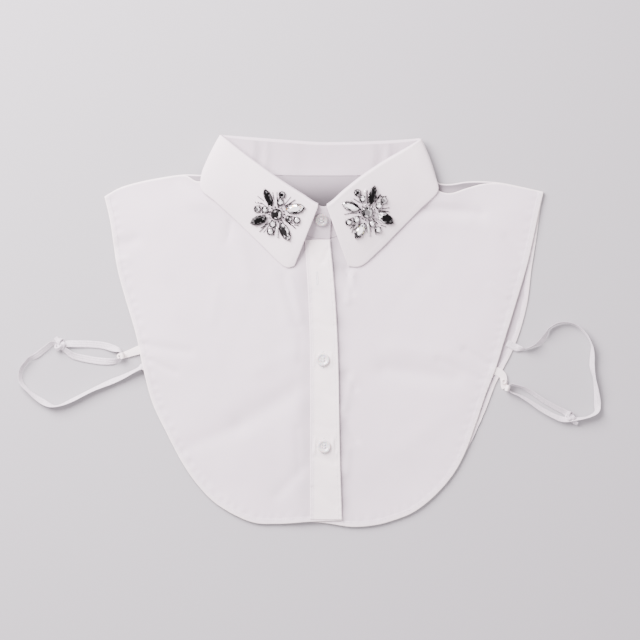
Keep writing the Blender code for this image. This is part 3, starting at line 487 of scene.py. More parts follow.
class NodeWriter:
    """Adds nodes to a material and links them."""

    def __init__(self, material: bpy.types.Material) -> None:
        """Keep the material's tree and shader."""
        self.tree = material.node_tree
        self.shader = self.tree.nodes["Principled BSDF"]

    def add(self, kind: str, **settings: object) -> bpy.types.Node:
        """Add a node.

        Args:
            kind: Its type, without the ShaderNode in front.
            settings: Its properties.

        Returns:
            The new node.
        """
        node = self.tree.nodes.new("ShaderNode" + kind)
        for key, value in settings.items():
            setattr(node, key, value)
        return node

    def link(self, source: bpy.types.NodeSocket, target: bpy.types.NodeSocket) -> None:
        """Link two sockets."""
        self.tree.links.new(source, target)

    def noise(
        self, scale: tuple[float, float, float], detail: float
    ) -> bpy.types.NodeSocket:
        """Add a noise over the object, stretched along its axes.

        Args:
            scale: Waves for each metre along X, Y and Z.
            detail: Octaves of finer noise.

        Returns:
            The noise's value.
        """
        place = self.add("TexCoord")
        mapping = self.add("Mapping")
        mapping.inputs["Scale"].default_value = scale
        texture = self.add("TexNoise")
        texture.inputs["Scale"].default_value = 1.0
        texture.inputs["Detail"].default_value = detail
        self.link(place.outputs["Object"], mapping.inputs["Vector"])
        self.link(mapping.outputs["Vector"], texture.inputs["Vector"])
        return texture.outputs["Fac"]

    def bands(self, direction: str, period: float) -> bpy.types.NodeSocket:
        """Add even bands across the object.

        Args:
            direction: X or Y.
            period: Distance from band to band, in metres.

        Returns:
            The bands' value.
        """
        place = self.add("TexCoord")
        texture = self.add("TexWave", wave_type="BANDS", bands_direction=direction)
        texture.inputs["Scale"].default_value = 2 * math.pi / (20 * period)
        self.link(place.outputs["Object"], texture.inputs["Vector"])
        return texture.outputs["Fac"]

    def ramp(
        self,
        value: bpy.types.NodeSocket,
        low: tuple[float, float, float],
        high: tuple[float, float, float],
        span: tuple[float, float] = (0.3, 0.7),
    ) -> bpy.types.NodeSocket:
        """Turn a value into a colour.

        Args:
            value: The value, about 0 to 1.
            low: Colour at the low end.
            high: Colour at the high end.
            span: Values at which the ends are reached.

        Returns:
            The colour.
        """
        node = self.add("ValToRGB")
        first, last = node.color_ramp.elements
        first.position, last.position = span
        first.color = (*low, 1.0)
        last.color = (*high, 1.0)
        self.link(value, node.inputs["Fac"])
        return node.outputs["Color"]

    def combine(
        self, operation: str, first: bpy.types.NodeSocket, second: object
    ) -> bpy.types.NodeSocket:
        """Combine two values.

        Args:
            operation: The math node's operation.
            first: The first value.
            second: The second value, a socket or a number.

        Returns:
            The result.
        """
        node = self.add("Math", operation=operation)
        self.link(first, node.inputs[0])
        if isinstance(second, float):
            node.inputs[1].default_value = second
        else:
            self.link(second, node.inputs[1])
        return node.outputs["Value"]

    def bump(self, value: bpy.types.NodeSocket, strength: float, depth: float) -> None:
        """Raise the shader's surface by a value, up to a depth in metres."""
        node = self.add("Bump")
        node.inputs["Strength"].default_value = strength
        node.inputs["Distance"].default_value = depth
        self.link(value, node.inputs["Height"])
        self.link(node.outputs["Normal"], self.shader.inputs["Normal"])


@dataclass(frozen=True)
class PoplinFinish:
    """Plain-woven cotton: a fine weave, faint slubs, lighter doubled cloth, and painted shade and highlights read
    from a tone attribute.
    """

    name: str = "poplin_weave"
    shaded: tuple[float, float, float] = (0.085, 0.078, 0.083)
    single_and_shade: tuple[float, float, float] = (0.37, 0.335, 0.36)
    laid: tuple[float, float, float] = (0.765, 0.69, 0.735)
    doubled: tuple[float, float, float] = (0.975, 0.91, 0.88)
    blotch: tuple[float, float, float] = (0.955, 0.955, 0.96)
    roughness: float = 0.82
    sheen: float = 0.12
    thread: float = 0.00055
    depth: float = 0.00006

    def make(self) -> bpy.types.Material:
        """Make the material."""
        material = principled(
            self.name,
            {
                "Roughness": self.roughness,
                "Sheen Weight": self.sheen,
                "Sheen Roughness": 0.6,
                "Specular IOR Level": 0.3,
            },
        )
        writer = NodeWriter(material)
        blotches = writer.ramp(writer.noise((14.0, 14.0, 14.0), 3.0), self.blotch, (1.0,) * 3)
        # Tone stops: painted deep shade, single cloth painted darker as shade, laid cloth, and doubled cloth,
        # which the painted edge highlights also reach.
        layers_and_painted_light = writer.add("Attribute", attribute_name="layers_and_painted_light")
        cloth = writer.add("ValToRGB")
        stops = cloth.color_ramp.elements
        stops[0].color = (*self.shaded, 1.0)
        stops[1].color = (*self.doubled, 1.0)
        stops.new(0.25).color = (*self.single_and_shade, 1.0)
        stops.new(0.5).color = (*self.laid, 1.0)
        writer.link(layers_and_painted_light.outputs["Fac"], cloth.inputs["Fac"])
        mix = writer.add("Mix", data_type="RGBA", blend_type="MULTIPLY")
        mix.inputs["Factor"].default_value = 1.0
        writer.link(cloth.outputs["Color"], mix.inputs["A"])
        writer.link(blotches, mix.inputs["B"])
        writer.link(mix.outputs["Result"], writer.shader.inputs["Base Color"])
        warp = writer.bands("X", self.thread)
        weft = writer.bands("Y", self.thread)
        weave = writer.combine("MULTIPLY", warp, weft)
        slubs = writer.noise((1400.0, 130.0, 130.0), 2.0)
        surface = writer.combine("ADD", weave, slubs)
        writer.bump(surface, 0.35, self.depth)
        return material


@dataclass(frozen=True)
class ElasticFinish:
    """Braided white elastic: matt, with fine cross lines."""

    name: str = "elastic_braid"
    colour: tuple[float, float, float] = (0.72, 0.68, 0.71)
    shade: tuple[float, float, float] = (0.54, 0.51, 0.535)

    def make(self) -> bpy.types.Material:
        """Make the material."""
        material = principled(
            self.name,
            {"Roughness": 0.75, "Sheen Weight": 0.2, "Specular IOR Level": 0.3},
        )
        writer = NodeWriter(material)
        grain = writer.noise((900.0, 900.0, 900.0), 2.0)
        colour = writer.ramp(grain, self.shade, self.colour, (0.25, 0.6))
        writer.link(colour, writer.shader.inputs["Base Color"])
        writer.bump(grain, 0.5, 0.00012)
        return material


@dataclass(frozen=True)
class ThreadFinish:
    """White sewing thread."""

    name: str = "thread"
    colour: tuple[float, float, float] = (0.87, 0.86, 0.865)

    def make(self) -> bpy.types.Material:
        """Make the material."""
        material = principled(self.name, {"Roughness": 0.6, "Sheen Weight": 0.15})
        writer = NodeWriter(material)
        grain = writer.noise((2500.0, 2500.0, 2500.0), 1.0)
        darker = tuple(0.9 * part for part in self.colour)
        writer.link(writer.ramp(grain, darker, self.colour), writer.shader.inputs["Base Color"])
        return material


@dataclass(frozen=True)
class ButtonFinish:
    """Translucent polished shirt button with faint clouds."""

    name: str = "button_pearl"
    colour: tuple[float, float, float] = (0.86, 0.845, 0.83)
    shade: tuple[float, float, float] = (0.72, 0.70, 0.69)

    def make(self) -> bpy.types.Material:
        """Make the material."""
        material = principled(
            self.name,
            {
                "Roughness": 0.16,
                "IOR": 1.53,
                "Coat Weight": 0.6,
                "Coat Roughness": 0.08,
                "Subsurface Weight": 0.25,
                "Subsurface Scale": 0.001,
            },
        )
        writer = NodeWriter(material)
        clouds = writer.noise((350.0, 350.0, 350.0), 3.0)
        writer.link(writer.ramp(clouds, self.shade, self.colour), writer.shader.inputs["Base Color"])
        return material


@dataclass(frozen=True)
class CrystalFinish:
    """Cut glass over foil: each facet's colour is painted light or shade, from an attribute."""

    name: str
    metallic: float = 0.5
    gloss: float = 0.12
    coat: float = 0.06

    def make(self) -> bpy.types.Material:
        """Make the material."""
        material = principled(
            self.name,
            {
                "Metallic": self.metallic,
                "Roughness": 0.08,
                "Specular IOR Level": self.gloss,
                "Coat Weight": self.coat,
                "Coat Roughness": 0.02,
            },
        )
        writer = NodeWriter(material)
        facets = writer.add("Attribute", attribute_name="facets")
        writer.link(facets.outputs["Color"], writer.shader.inputs["Base Color"])
        return material


@dataclass(frozen=True)
class SilverFinish:
    """Plated metal, with painted dark patches that stand in for dark reflections and shade."""

    name: str = "silver_plate"
    colour: tuple[float, float, float] = (0.50, 0.485, 0.48)
    shade: tuple[float, float, float] = (0.008, 0.007, 0.008)

    def make(self) -> bpy.types.Material:
        """Make the material."""
        material = principled(self.name, {"Metallic": 1.0, "Roughness": 0.2})
        writer = NodeWriter(material)
        grain = writer.noise((820.0, 820.0, 820.0), 1.0)
        colour = writer.ramp(grain, self.shade, self.colour, (0.49, 0.61))
        writer.link(colour, writer.shader.inputs["Base Color"])
        return material


@dataclass(frozen=True)
class BugleFinish:
    """Milky silver-lined glass tube."""

    name: str = "bugle_glass"
    colour: tuple[float, float, float] = (0.95, 0.94, 0.92)
    shade: tuple[float, float, float] = (0.60, 0.59, 0.58)

    def make(self) -> bpy.types.Material:
        """Make the material."""
        material = principled(
            self.name, {"Metallic": 0.3, "Roughness": 0.12, "Coat Weight": 1.0}
        )
        writer = NodeWriter(material)
        grain = writer.noise((500.0, 500.0, 500.0), 2.0)
        writer.link(writer.ramp(grain, self.shade, self.colour), writer.shader.inputs["Base Color"])
        return material


@dataclass(frozen=True)
class FloorFinish:
    """Plain pale paper sweep."""

    name: str = "floor_paper"
    colour: tuple[float, float, float] = (0.42, 0.42, 0.43)

    def make(self) -> bpy.types.Material:
        """Make the material."""
        return principled(self.name, {"Base Color": (*self.colour, 1.0), "Roughness": 0.9})


@dataclass
class Wardrobe:
    """Every finish of the garment, made once."""

    poplin: bpy.types.Material = field(default_factory=PoplinFinish().make)
    elastic: bpy.types.Material = field(default_factory=ElasticFinish().make)
    thread: bpy.types.Material = field(default_factory=ThreadFinish().make)
    button: bpy.types.Material = field(default_factory=ButtonFinish().make)
    # A darker copy of the button material: painted shade for the collar button on the shaded stand.
    shaded_button: bpy.types.Material = field(
        default_factory=ButtonFinish("button_shaded", (0.52, 0.49, 0.48), (0.40, 0.375, 0.37)).make
    )
    clear: bpy.types.Material = field(default_factory=CrystalFinish("crystal_clear").make)
    smoke: bpy.types.Material = field(default_factory=CrystalFinish("crystal_smoke", 0.0, 0.05, 0.0).make)
    silver: bpy.types.Material = field(default_factory=SilverFinish().make)
    bugle: bpy.types.Material = field(default_factory=BugleFinish().make)


def smooth_step(value: np.ndarray) -> np.ndarray:
    """Return 0 below 0, 1 above 1 and an even rise between."""
    value = np.clip(value, 0.0, 1.0)
    return value * value * (3.0 - 2.0 * value)


def unit(vector: np.ndarray) -> np.ndarray:
    """Return vectors at length 1."""
    return vector / np.linalg.norm(vector, axis=-1, keepdims=True)


def curve_at(rows: Rows, places: np.ndarray) -> np.ndarray:
    """Find points on the smooth curve through rows.

    Args:
        rows: The rows that the curve passes through.
        places: Where along it, counted in rows.

    Returns:
        One point for each place.
    """
    points = np.array(rows, dtype=float)
    spans = np.sqrt(np.linalg.norm(np.diff(points, axis=0), axis=1))[:, None]
    chords = np.diff(points, axis=0) / spans
    slopes = np.empty_like(points)
    slopes[0] = chords[0]
    slopes[-1] = chords[-1]
    both = spans[:-1] + spans[1:]
    slopes[1:-1] = (chords[:-1] * spans[1:] + chords[1:] * spans[:-1]) / both
    index = np.clip(places.astype(int), 0, len(points) - 2)
    t = (places - index)[:, None]
    span = spans[index]
    return (
        (2 * t**3 - 3 * t**2 + 1) * points[index]
        + (t**3 - 2 * t**2 + t) * span * slopes[index]
        + (3 * t**2 - 2 * t**3) * points[index + 1]
        + (t**3 - t**2) * span * slopes[index + 1]
    )


def smooth_rows(rows: Rows, steps: int) -> np.ndarray:
    """Return the smooth curve through rows, with steps between each two."""
    last = len(rows) - 1
    return curve_at(rows, np.linspace(0.0, last, last * steps + 1))


def path_lengths(points: np.ndarray) -> np.ndarray:
    """Return the distance along a line of points at each of them."""
    steps = np.linalg.norm(np.diff(points, axis=0), axis=1)
    return np.concatenate(([0.0], np.cumsum(steps)))


def resample(points: np.ndarray, places: np.ndarray) -> np.ndarray:
    """Return points at given distances along a line of points."""
    along = path_lengths(points)
    return np.stack([np.interp(places, along, column) for column in points.T], axis=1)


def along_side(parts: Sequence[tuple[Rows, int]], shares: np.ndarray) -> np.ndarray:
    """Find points along one side of a panel.

    Args:
        parts: Its edges, each with the number of the solid's steps along it.
        shares: Shares of the whole side.

    Returns:
        One point for each share.
    """
    total = sum(steps for _, steps in parts)
    points = np.empty((len(shares), 2))
    start = 0
    for rows, steps in parts:
        low, high = start / total, (start + steps) / total
        inside = (shares >= low - 1e-9) & (shares <= high + 1e-9)
        curve = smooth_rows(rows, 24)
        local = np.clip((shares[inside] - low) / (high - low), 0.0, 1.0)
        points[inside] = resample(curve, local * path_lengths(curve)[-1])
        start += steps
    return points


def fine_shares(
    length: float, step: float, ends: tuple[bool, bool], keep: Sequence[float] = ()
) -> np.ndarray:
    """Space the lines of a grid, close together near hemmed ends.

    Args:
        length: Length of the side.
        step: Distance between lines away from the ends.
        ends: Whether the first and the last end are hemmed.
        keep: Shares that have a line.

    Returns:
        Shares of the side from 0 to 1.
    """
    near = np.array(EDGE_PLACES) / length
    first = near if ends[0] else near[:1]
    last = 1.0 - (near[::-1] if ends[1] else near[:1])
    count = max(2, round((last[0] - first[-1]) * length / step))
    middle = np.linspace(first[-1], last[0], count + 1)
    shares = np.concatenate((first, middle, last, np.array(keep)))
    return np.unique(np.round(shares, 5))


def patch(
    bottom: np.ndarray,
    top: np.ndarray,
    left: np.ndarray,
    right: np.ndarray,
    across_shares: np.ndarray,
    up_shares: np.ndarray,
) -> Grid:
    """Fill an outline with a grid of points.

    Args:
        bottom: Points of the lower side.
        top: Points of the upper side.
        left: Points of the left side.
        right: Points of the right side.
        across_shares: Shares of the lower and upper sides' points.
        up_shares: Shares of the left and right sides' points.

    Returns:
        Rows of points from bottom to top.
    """
    across = across_shares[None, :, None]
    up = up_shares[:, None, None]
    between_ends = (1 - up) * bottom[None] + up * top[None]
    between_sides = (1 - across) * left[:, None] + across * right[:, None]
    corners = (1 - up) * ((1 - across) * bottom[0] + across * bottom[-1])
    corners = corners + up * ((1 - across) * top[0] + across * top[-1])
    return between_ends + between_sides - corners


def back_height(x: np.ndarray, y: np.ndarray) -> np.ndarray:
    """Return the height of the back panel's underside."""
    side = 1.0 - smooth_step((np.abs(x + 1.0) - LEAF_STEP_HALF_WIDTH) / LEAF_STEP_SIDE_FADE)
    return LEAF_STEP * smooth_step((y - LEAF_STEP_Y) / LEAF_STEP_FADE) * side


def fold_height(x: np.ndarray, y: np.ndarray, folds: Rows) -> np.ndarray:
    """Return the height that soft ridges and troughs along straight lines add."""
    total = np.zeros_like(x)
    for x0, y0, x1, y1, height, half_width in folds:
        length = math.hypot(x1 - x0, y1 - y0)
        along_x = (x1 - x0) / length
        along_y = (y1 - y0) / length
        along = (x - x0) * along_x + (y - y0) * along_y
        beside = (y - y0) * along_x - (x - x0) * along_y
        past = np.maximum(0.0, np.maximum(-along, along - length))
        total = total + height * np.exp(-(beside**2 + past**2) / half_width**2)
    return total


def ripple_height(x: np.ndarray, y: np.ndarray) -> np.ndarray:
    """Return the slight unevenness of cloth that lies flat."""
    total = np.zeros_like(x)
    for wave, direction, phase, height in RIPPLES:
        angle = math.radians(direction)
        along = (x * math.cos(angle) + y * math.sin(angle)) / wave
        total = total + height * np.sin(2 * math.pi * along + math.radians(phase))
    return total


def front_height(x: np.ndarray, y: np.ndarray, over: bool) -> np.ndarray:
    """Find the height of a front panel's underside.

    Args:
        x: Places across.
        y: Places up the garment.
        over: Whether it is the lapping panel.

    Returns:
        The heights.
    """
    body = np.hypot((x - BODY_CENTRE_X) / BODY_HALF_WIDTH, (y - BODY_TOP_Y) / BODY_DEPTH)
    edge_fade = smooth_step((1.0 - body) / PUFF_RISE)
    puff = edge_fade * smooth_step((SHOULDER_Y - y) / SHOULDER_FADE)
    height = back_height(x, y) + WALL + EDGE_GAP + PUFF * puff
    for lift_x, lift_y, lift, radius in LIFTS:
        height = height + lift * np.exp(-((x - lift_x)**2 + (y - lift_y)**2) / radius**2)
    if over:
        clear = smooth_step((FOLD_CLEAR_RIGHT - x) / FOLD_FADE)
        height = height + LAP_RISE * smooth_step((x - LAP_START) / LAP_WIDTH)
        return height + clear * edge_fade * fold_height(x, y, RIGHT_FOLDS)
    clear = smooth_step((x - FOLD_CLEAR_LEFT) / FOLD_FADE)
    return height + clear * edge_fade * fold_height(x, y, LEFT_FOLDS)


def back_top(x: np.ndarray, y: np.ndarray) -> np.ndarray:
    """Return the height of the back panel's upper face."""
    return back_height(x, y) + 0.75 + fold_height(x, y, BACK_FOLDS)


def right_top(x: np.ndarray, y: np.ndarray) -> np.ndarray:
    """Return the height of the lapping front panel's upper face."""
    detail = fold_height(x, y, FINE_RIGHT_FOLDS) + ripple_height(x, y)
    return front_height(x, y, True) + WALL + detail


def left_top(x: np.ndarray, y: np.ndarray) -> np.ndarray:
    """Return the height of the under front panel's upper face."""
    shown = smooth_step((x - 8.0) / 8.0)
    detail = fold_height(x, y, FINE_LEFT_FOLDS) + ripple_height(x + 40.0, y)
    return front_height(x, y, False) + WALL + shown * detail


def placket_top(x: np.ndarray, y: np.ndarray) -> np.ndarray:
    """Return the height of the placket's upper face."""
    return right_top(x, y) + SEAM_GAP + 0.7 + fold_height(x, y, PLACKET_FOLDS)


def laid_tone(x: np.ndarray, y: np.ndarray) -> np.ndarray:
    """Return how bright cloth over other cloth is."""
    return np.full_like(x, 0.5)


def left_tone(x: np.ndarray, y: np.ndarray) -> np.ndarray:
    """Return how bright the under front is, with painted shade along the placket's edge and under the collar
    leaf's inner edge.
    """
    edge = np.interp(y, *np.array(sorted((row[0], row[2]) for row in PLACKET_ROWS)).T)
    beside = np.maximum(x - edge, 0.0)
    uneven = 1.0 + 0.45 * np.sin(y / 5.1) * np.sin(y / 13.7 + 1.0)
    # Painted shade under the collar leaf's inner edge.
    corner = smooth_step((y - 48.0) / 14.0) * (1 - smooth_step((x - 20.0) / 8.0))
    wide_shade = 0.02 * np.exp(-((beside / PLACKET_SHADE_WIDTH) ** 2))
    return 0.5 - wide_shade - 0.15 * uneven * np.exp(-((beside / 6.5) ** 2)) - 0.1 * corner


def right_tone(x: np.ndarray, y: np.ndarray) -> np.ndarray:
    """Return how bright the lapping front is, which is shaded beside the placket's seam."""
    edge = np.interp(y, *np.array(sorted((row[0], row[1]) for row in PLACKET_ROWS)).T)
    uneven = 1.0 + 0.5 * np.sin(y / 9.1) * np.sin(y / 17.3 + 2.0)
    wide_shade = 0.02 * np.exp(-(((edge - x) / PLACKET_SHADE_WIDTH) ** 2))
    return 0.5 - wide_shade - 0.07 * uneven * np.exp(-(((edge - x) / 11.0) ** 2))


def placket_tone(x: np.ndarray, y: np.ndarray) -> np.ndarray:
    """Return how bright the placket is: doubled cloth, with painted shade along its sewn edge and faint uneven
    bands.
    """
    edge = np.interp(y, *np.array(sorted((row[0], row[1]) for row in PLACKET_ROWS)).T)
    uneven = 0.05 * np.sin(y / 6.7 + 1.4 * np.sin(x / 4.0)) * np.sin(y / 23.0 + 0.6)
    return 0.6 + 0.34 * smooth_step((x - edge - 0.8) / 4.6) + uneven


def back_tone(x: np.ndarray, y: np.ndarray) -> np.ndarray:
    """Return how bright the back's single cloth is, painted darker as shade: darkest below the front of the neck,
    darker on the left shoulder, less dark beside the left armhole.
    """
    deep = smooth_step((141.0 - y) / 26.0) * (np.abs(x + 1.0) < 60.0) * (y > 80.0)
    shoulder = smooth_step((y - 125.0) / 6.0) * smooth_step((x - 70.0) / 20.0)
    side = smooth_step((x - 135.0) / 20.0) * smooth_step((100.0 - y) / 20.0)
    return 0.235 - 0.235 * deep - 0.12 * shoulder + 0.13 * side


def neckline(rows: Rows) -> list[tuple[float, float]]:
    """Return a panel's edge along the neck seam, just clear of the collar stand."""
    points = []
    for seam_x, seam_y, _, roll_x, roll_y, _, _ in rows:
        away = unit(np.array((seam_x - roll_x, seam_y - roll_y)))
        points.append(tuple(np.array((seam_x, seam_y)) + NECK_INSET * away))
    return points


def settle(
    thing: bpy.types.Object, slot: Slot, nodes: Sequence[str] = ()
) -> bpy.types.Object:
    """Put a piece on the body and hide the solids that it replaces.

    Args:
        thing: The piece.
        slot: Not used.
        nodes: The solids that it replaces.

    Returns:
        The piece.
    """
    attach(thing, BODY)
    if nodes:
        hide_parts(*nodes)
    LOG.info("%s: %d faces", thing.name, len(thing.data.polygons))
    return thing


@dataclass
class MeshParts:
    """Points and faces of a mesh while it is put together, in millimetres."""

    points: list[np.ndarray] = field(default_factory=list)
    faces: list[tuple[int, ...]] = field(default_factory=list)
    count: int = 0

    def add(self, points: np.ndarray, faces: Sequence[tuple[int, ...]]) -> None:
        """Add a part whose faces count its own points."""
        self.points.append(points)
        self.faces.extend(tuple(corner + self.count for corner in face) for face in faces)
        self.count += len(points)

    def add_rings(self, rings: np.ndarray, closed: bool = False) -> None:
        """Add a skin over rings of points.

        Args:
            rings: Rings of the same number of points.
            closed: Whether the last ring joins the first; open ends get a cap each.
        """
        count, sides = rings.shape[:2]
        faces = []
        for ring in range(count if closed else count - 1):
            after = (ring + 1) % count
            for side in range(sides):
                beside = (side + 1) % sides
                faces.append(
                    (
                        ring * sides + side,
                        ring * sides + beside,
                        after * sides + beside,
                        after * sides + side,
                    )
                )
        if not closed:
            faces.append(tuple(range(sides))[::-1])
            faces.append(tuple((count - 1) * sides + side for side in range(sides)))
        self.add(rings.reshape(-1, 3), faces)

    def build(
        self, name: str, finish: bpy.types.Material, sharp: float | None = 40.0
    ) -> bpy.types.Object:
        """Make the object.

        Args:
            name: Its name.
            finish: Its material.
            sharp: Angle in degrees above which an edge stays sharp; none is flat faces.

        Returns:
            The new object.
        """
        mesh = bpy.data.meshes.new(name)
        mesh.from_pydata((np.concatenate(self.points) * MM).tolist(), [], self.faces)
        builder = bmesh.new()
        builder.from_mesh(mesh)
        bmesh.ops.recalc_face_normals(builder, faces=builder.faces)
        builder.to_mesh(mesh)
        builder.free()
        if sharp is not None:
            mesh.shade_smooth()
            mesh.set_sharp_from_angle(angle=math.radians(sharp))
        mesh.materials.append(finish)
        thing = bpy.data.objects.new(name, mesh)
        bpy.context.collection.objects.link(thing)
        return thing


def add_wall(parts: MeshParts, top: Grid, under: Grid) -> None:
    """Add a closed wall between two grids of points.

    Args:
        parts: The mesh that it goes into.
        top: Points of one face.
        under: Points of the other face, the same number.
    """
    rows, columns = top.shape[:2]
    total = rows * columns
    index = np.arange(total).reshape(rows, columns)
    first, second = index[:-1, :-1].ravel(), index[:-1, 1:].ravel()
    third, fourth = index[1:, 1:].ravel(), index[1:, :-1].ravel()
    faces = [*zip(first, second, third, fourth)]
    faces += [*zip(first + total, fourth + total, third + total, second + total)]
    rim = np.concatenate((index[0, :], index[1:, -1], index[-1, -2::-1], index[-2::-1, 0]))
    low, high = rim[:-1], rim[1:]
    faces += [*zip(low, low + total, high + total, high)]
    points = np.concatenate((top.reshape(-1, 3), under.reshape(-1, 3)))
    parts.add(points, [tuple(int(corner) for corner in face) for face in faces])


def set_layers_and_painted_light(thing: bpy.types.Object, layers_and_painted_light: np.ndarray | float) -> None:
    """Give a wall's points their tone of doubled cloth, painted shade and painted highlight, each or all alike.
    """
    attribute = thing.data.attributes.new("layers_and_painted_light", "FLOAT", "POINT")
    if isinstance(layers_and_painted_light, float):
        layers_and_painted_light = np.full(len(thing.data.vertices) // 2, layers_and_painted_light)
    attribute.data.foreach_set("value", np.concatenate((layers_and_painted_light.ravel(), layers_and_painted_light.ravel())))


class Surface:
    """The upper side of a piece, to lay other pieces on."""

    def __init__(self, thing: bpy.types.Object) -> None:
        """Keep a search tree of the piece's mesh."""
        mesh = thing.data
        self.tree = BVHTree.FromPolygons(
            [vertex.co / MM for vertex in mesh.vertices],
            [polygon.vertices for polygon in mesh.polygons],
        )

    def point(self, x: float, y: float) -> tuple[np.ndarray, np.ndarray] | None:
        """Find the highest point at a place.

        Args:
            x: The place across.
            y: The place up the garment.

        Returns:
            The point and its normal, or none off the piece.
        """
        found, normal, _, _ = self.tree.ray_cast(Vector((x, y, 100.0)), Vector((0.0, 0.0, -1.0)))
        if found is None:
            return None
        return np.array(found), np.array(normal)


@dataclass
class Stitching:
    """Rows of thread stitches that lie on a surface."""

    name: str
    finish: bpy.types.Material
    length: float = 2.1
    pitch: float = 2.9
    radius: float = 0.17
    sides: int = 6
    parts: MeshParts = field(default_factory=MeshParts)

    def add_line(self, line: np.ndarray, surface: Surface) -> None:
        """Add stitches along a line in plan, on a surface.

        Args:
            line: Points of the line.
            surface: What they lie on.
        """
        total = path_lengths(line)[-1]
        for start in np.arange(0.4, total - self.length, self.pitch):
            ends = resample(line, np.array((start, start + self.length)))
            found = [surface.point(*end) for end in ends]
            if None not in found:
                self.add_stitch(found[0][0], found[1][0], found[0][1])

    def add_stitch(self, start: np.ndarray, end: np.ndarray, normal: np.ndarray) -> None:
        """Add one stitch.

        Args:
            start: Where the thread comes out.
            end: Where it goes in.
            normal: The cloth's normal.
        """
        heading = unit(end - start)
        beside = unit(np.cross(normal, heading))
        rings = []
        for share, size, rise in ((0, 0.5, -0.6), (0.2, 1, 0.35), (0.8, 1, 0.35), (1, 0.5, -0.6)):
            middle = start + share * (end - start) + normal * rise * self.radius
            ring = []
            for step in range(self.sides):
                angle = 2 * math.pi * step / self.sides
                away = beside * math.cos(angle) + normal * math.sin(angle)
                ring.append(middle + away * size * self.radius)
            rings.append(ring)
        self.parts.add_rings(np.array(rings))

    def build(self) -> bpy.types.Object:
        """Make the stitches one piece."""
        return settle(self.parts.build(self.name, self.finish), Slot.POPLIN)


@dataclass
class ClothPanel:
    """A flat-laid piece of cloth with rolled hems and turned edges."""

    name: str
    node: str
    finish: bpy.types.Material
    top: Height
    hems: tuple[np.ndarray, ...]
    turned: tuple[np.ndarray, ...]
    thickness: float = 0.45
    hem_width: float = 4.2
    hem_rise: float = 0.36
    hem_drop: float = 0.25
    edge_round: float = 0.9
    turn_drop: float = 0.9
    pucker: float = 0.3
    layers_and_painted_light: Height = laid_tone
    rim_highlight: float = 0.9
    table_clear: float = 0.02

    def nearest(self, plan: Grid, lines: Sequence[np.ndarray]) -> tuple[np.ndarray, np.ndarray]:
        """Find how far a grid's points are from some lines.

        Args:
            plan: The grid's points.
            lines: Lines of points in plan.

        Returns:
            The distance to the nearest line, and the distance along it there.
        """
        distance = np.full(plan.shape[:2], 1e3)
        along = np.zeros(plan.shape[:2])
        for line in lines:
            lengths = path_lengths(line)
            for start, end, first, last in zip(line, line[1:], lengths, lengths[1:]):
                step = end - start
                share = np.clip(((plan - start) @ step) / (step @ step), 0.0, 1.0)
                away = np.linalg.norm(plan - start - share[..., None] * step, axis=2)
                closer = away < distance
                distance = np.where(closer, away, distance)
                along = np.where(closer, first + share * (last - first), along)
        return distance, along

    def build(self, plan: Grid) -> bpy.types.Object:
        """Make the panel over a plan grid.

        Args:
            plan: Rows of points in plan.

        Returns:
            The panel.
        """
        x, y = plan[..., 0], plan[..., 1]
        height = self.top(x, y)
        distance, along = self.nearest(plan, self.hems)
        band = smooth_step(distance / 0.6) * (1 - smooth_step((distance - self.hem_width) / 0.6))
        band = band + (1 - smooth_step(distance / 0.6))
        wander = np.sin(2 * math.pi * along / 23.0)
        crinkle = 0.6 * np.sin(2 * math.pi * along / 5.3 + 2.6 * wander)
        crinkle = crinkle + 0.4 * np.sin(2 * math.pi * along / 8.9 - 1.9 * wander)
        gather = np.sin(2 * math.pi * along / 9.4 + 1.3 * np.sin(2 * math.pi * along / 41.0))
        beside = np.exp(-(((distance - self.hem_width - 2.4) / 2.8) ** 2))
        groove = np.exp(-(((distance - self.hem_width + 0.5) / 0.45) ** 2))
        height = height + band * (self.hem_rise + 0.14 * crinkle) - 0.16 * groove
        height = height + self.pucker * beside * gather
        edge = 1 - np.clip(distance / self.edge_round, 0.0, 1.0)
        fall = 1 - np.sqrt(1 - edge**2)
        height = height - fall * 0.6 * (self.thickness + self.hem_rise)
        turn, _ = self.nearest(plan, self.turned)
        turn_edge = 1 - np.clip(turn / (1.8 * self.edge_round), 0.0, 1.0)
        turn_fall = self.turn_drop * (1 - np.sqrt(1 - turn_edge**2))
        rounded = fall * 0.5 * self.thickness
        under = height - self.thickness - band * self.hem_drop + rounded
        height = height - turn_fall
        under = np.maximum(under - 0.6 * turn_fall, self.table_clear)
        height = np.maximum(height, under + 0.15)
        parts = MeshParts()
        add_wall(parts, np.dstack((x, y, height)), np.dstack((x, y, under)))
        thing = parts.build(self.name, self.finish)
        cloth = self.layers_and_painted_light(x, y)
        # Painted highlight along the cut and turned edges; the hem band is lighter doubled cloth, with painted
        # shading over its crinkles and painted shade in the stitch groove.
        rim = 1 - smooth_step((np.minimum(distance, turn) - 0.5) / 0.9)
        hem = band * (0.64 + 0.07 * crinkle * gather) - 0.22 * groove
        shown = np.maximum(cloth, hem)
        set_layers_and_painted_light(thing, shown + (1 - shown) * rim * self.rim_highlight)
        return settle(thing, Slot.POPLIN, (self.node,))


def inset(line: np.ndarray, distance: float, centre: tuple[float, float]) -> np.ndarray:
    """Move a line in plan towards a centre.

    Args:
        line: Points of the line.
        distance: How far its points move, square to it.
        centre: A place on the side that they move to.

    Returns:
        The moved points.
    """
    along = unit(np.gradient(line, axis=0))
    normal = np.stack((-along[:, 1], along[:, 0]), axis=1)
    towards = np.sign(((np.array(centre) - line) * normal).sum(axis=1, keepdims=True))
    return line + normal * distance * towards


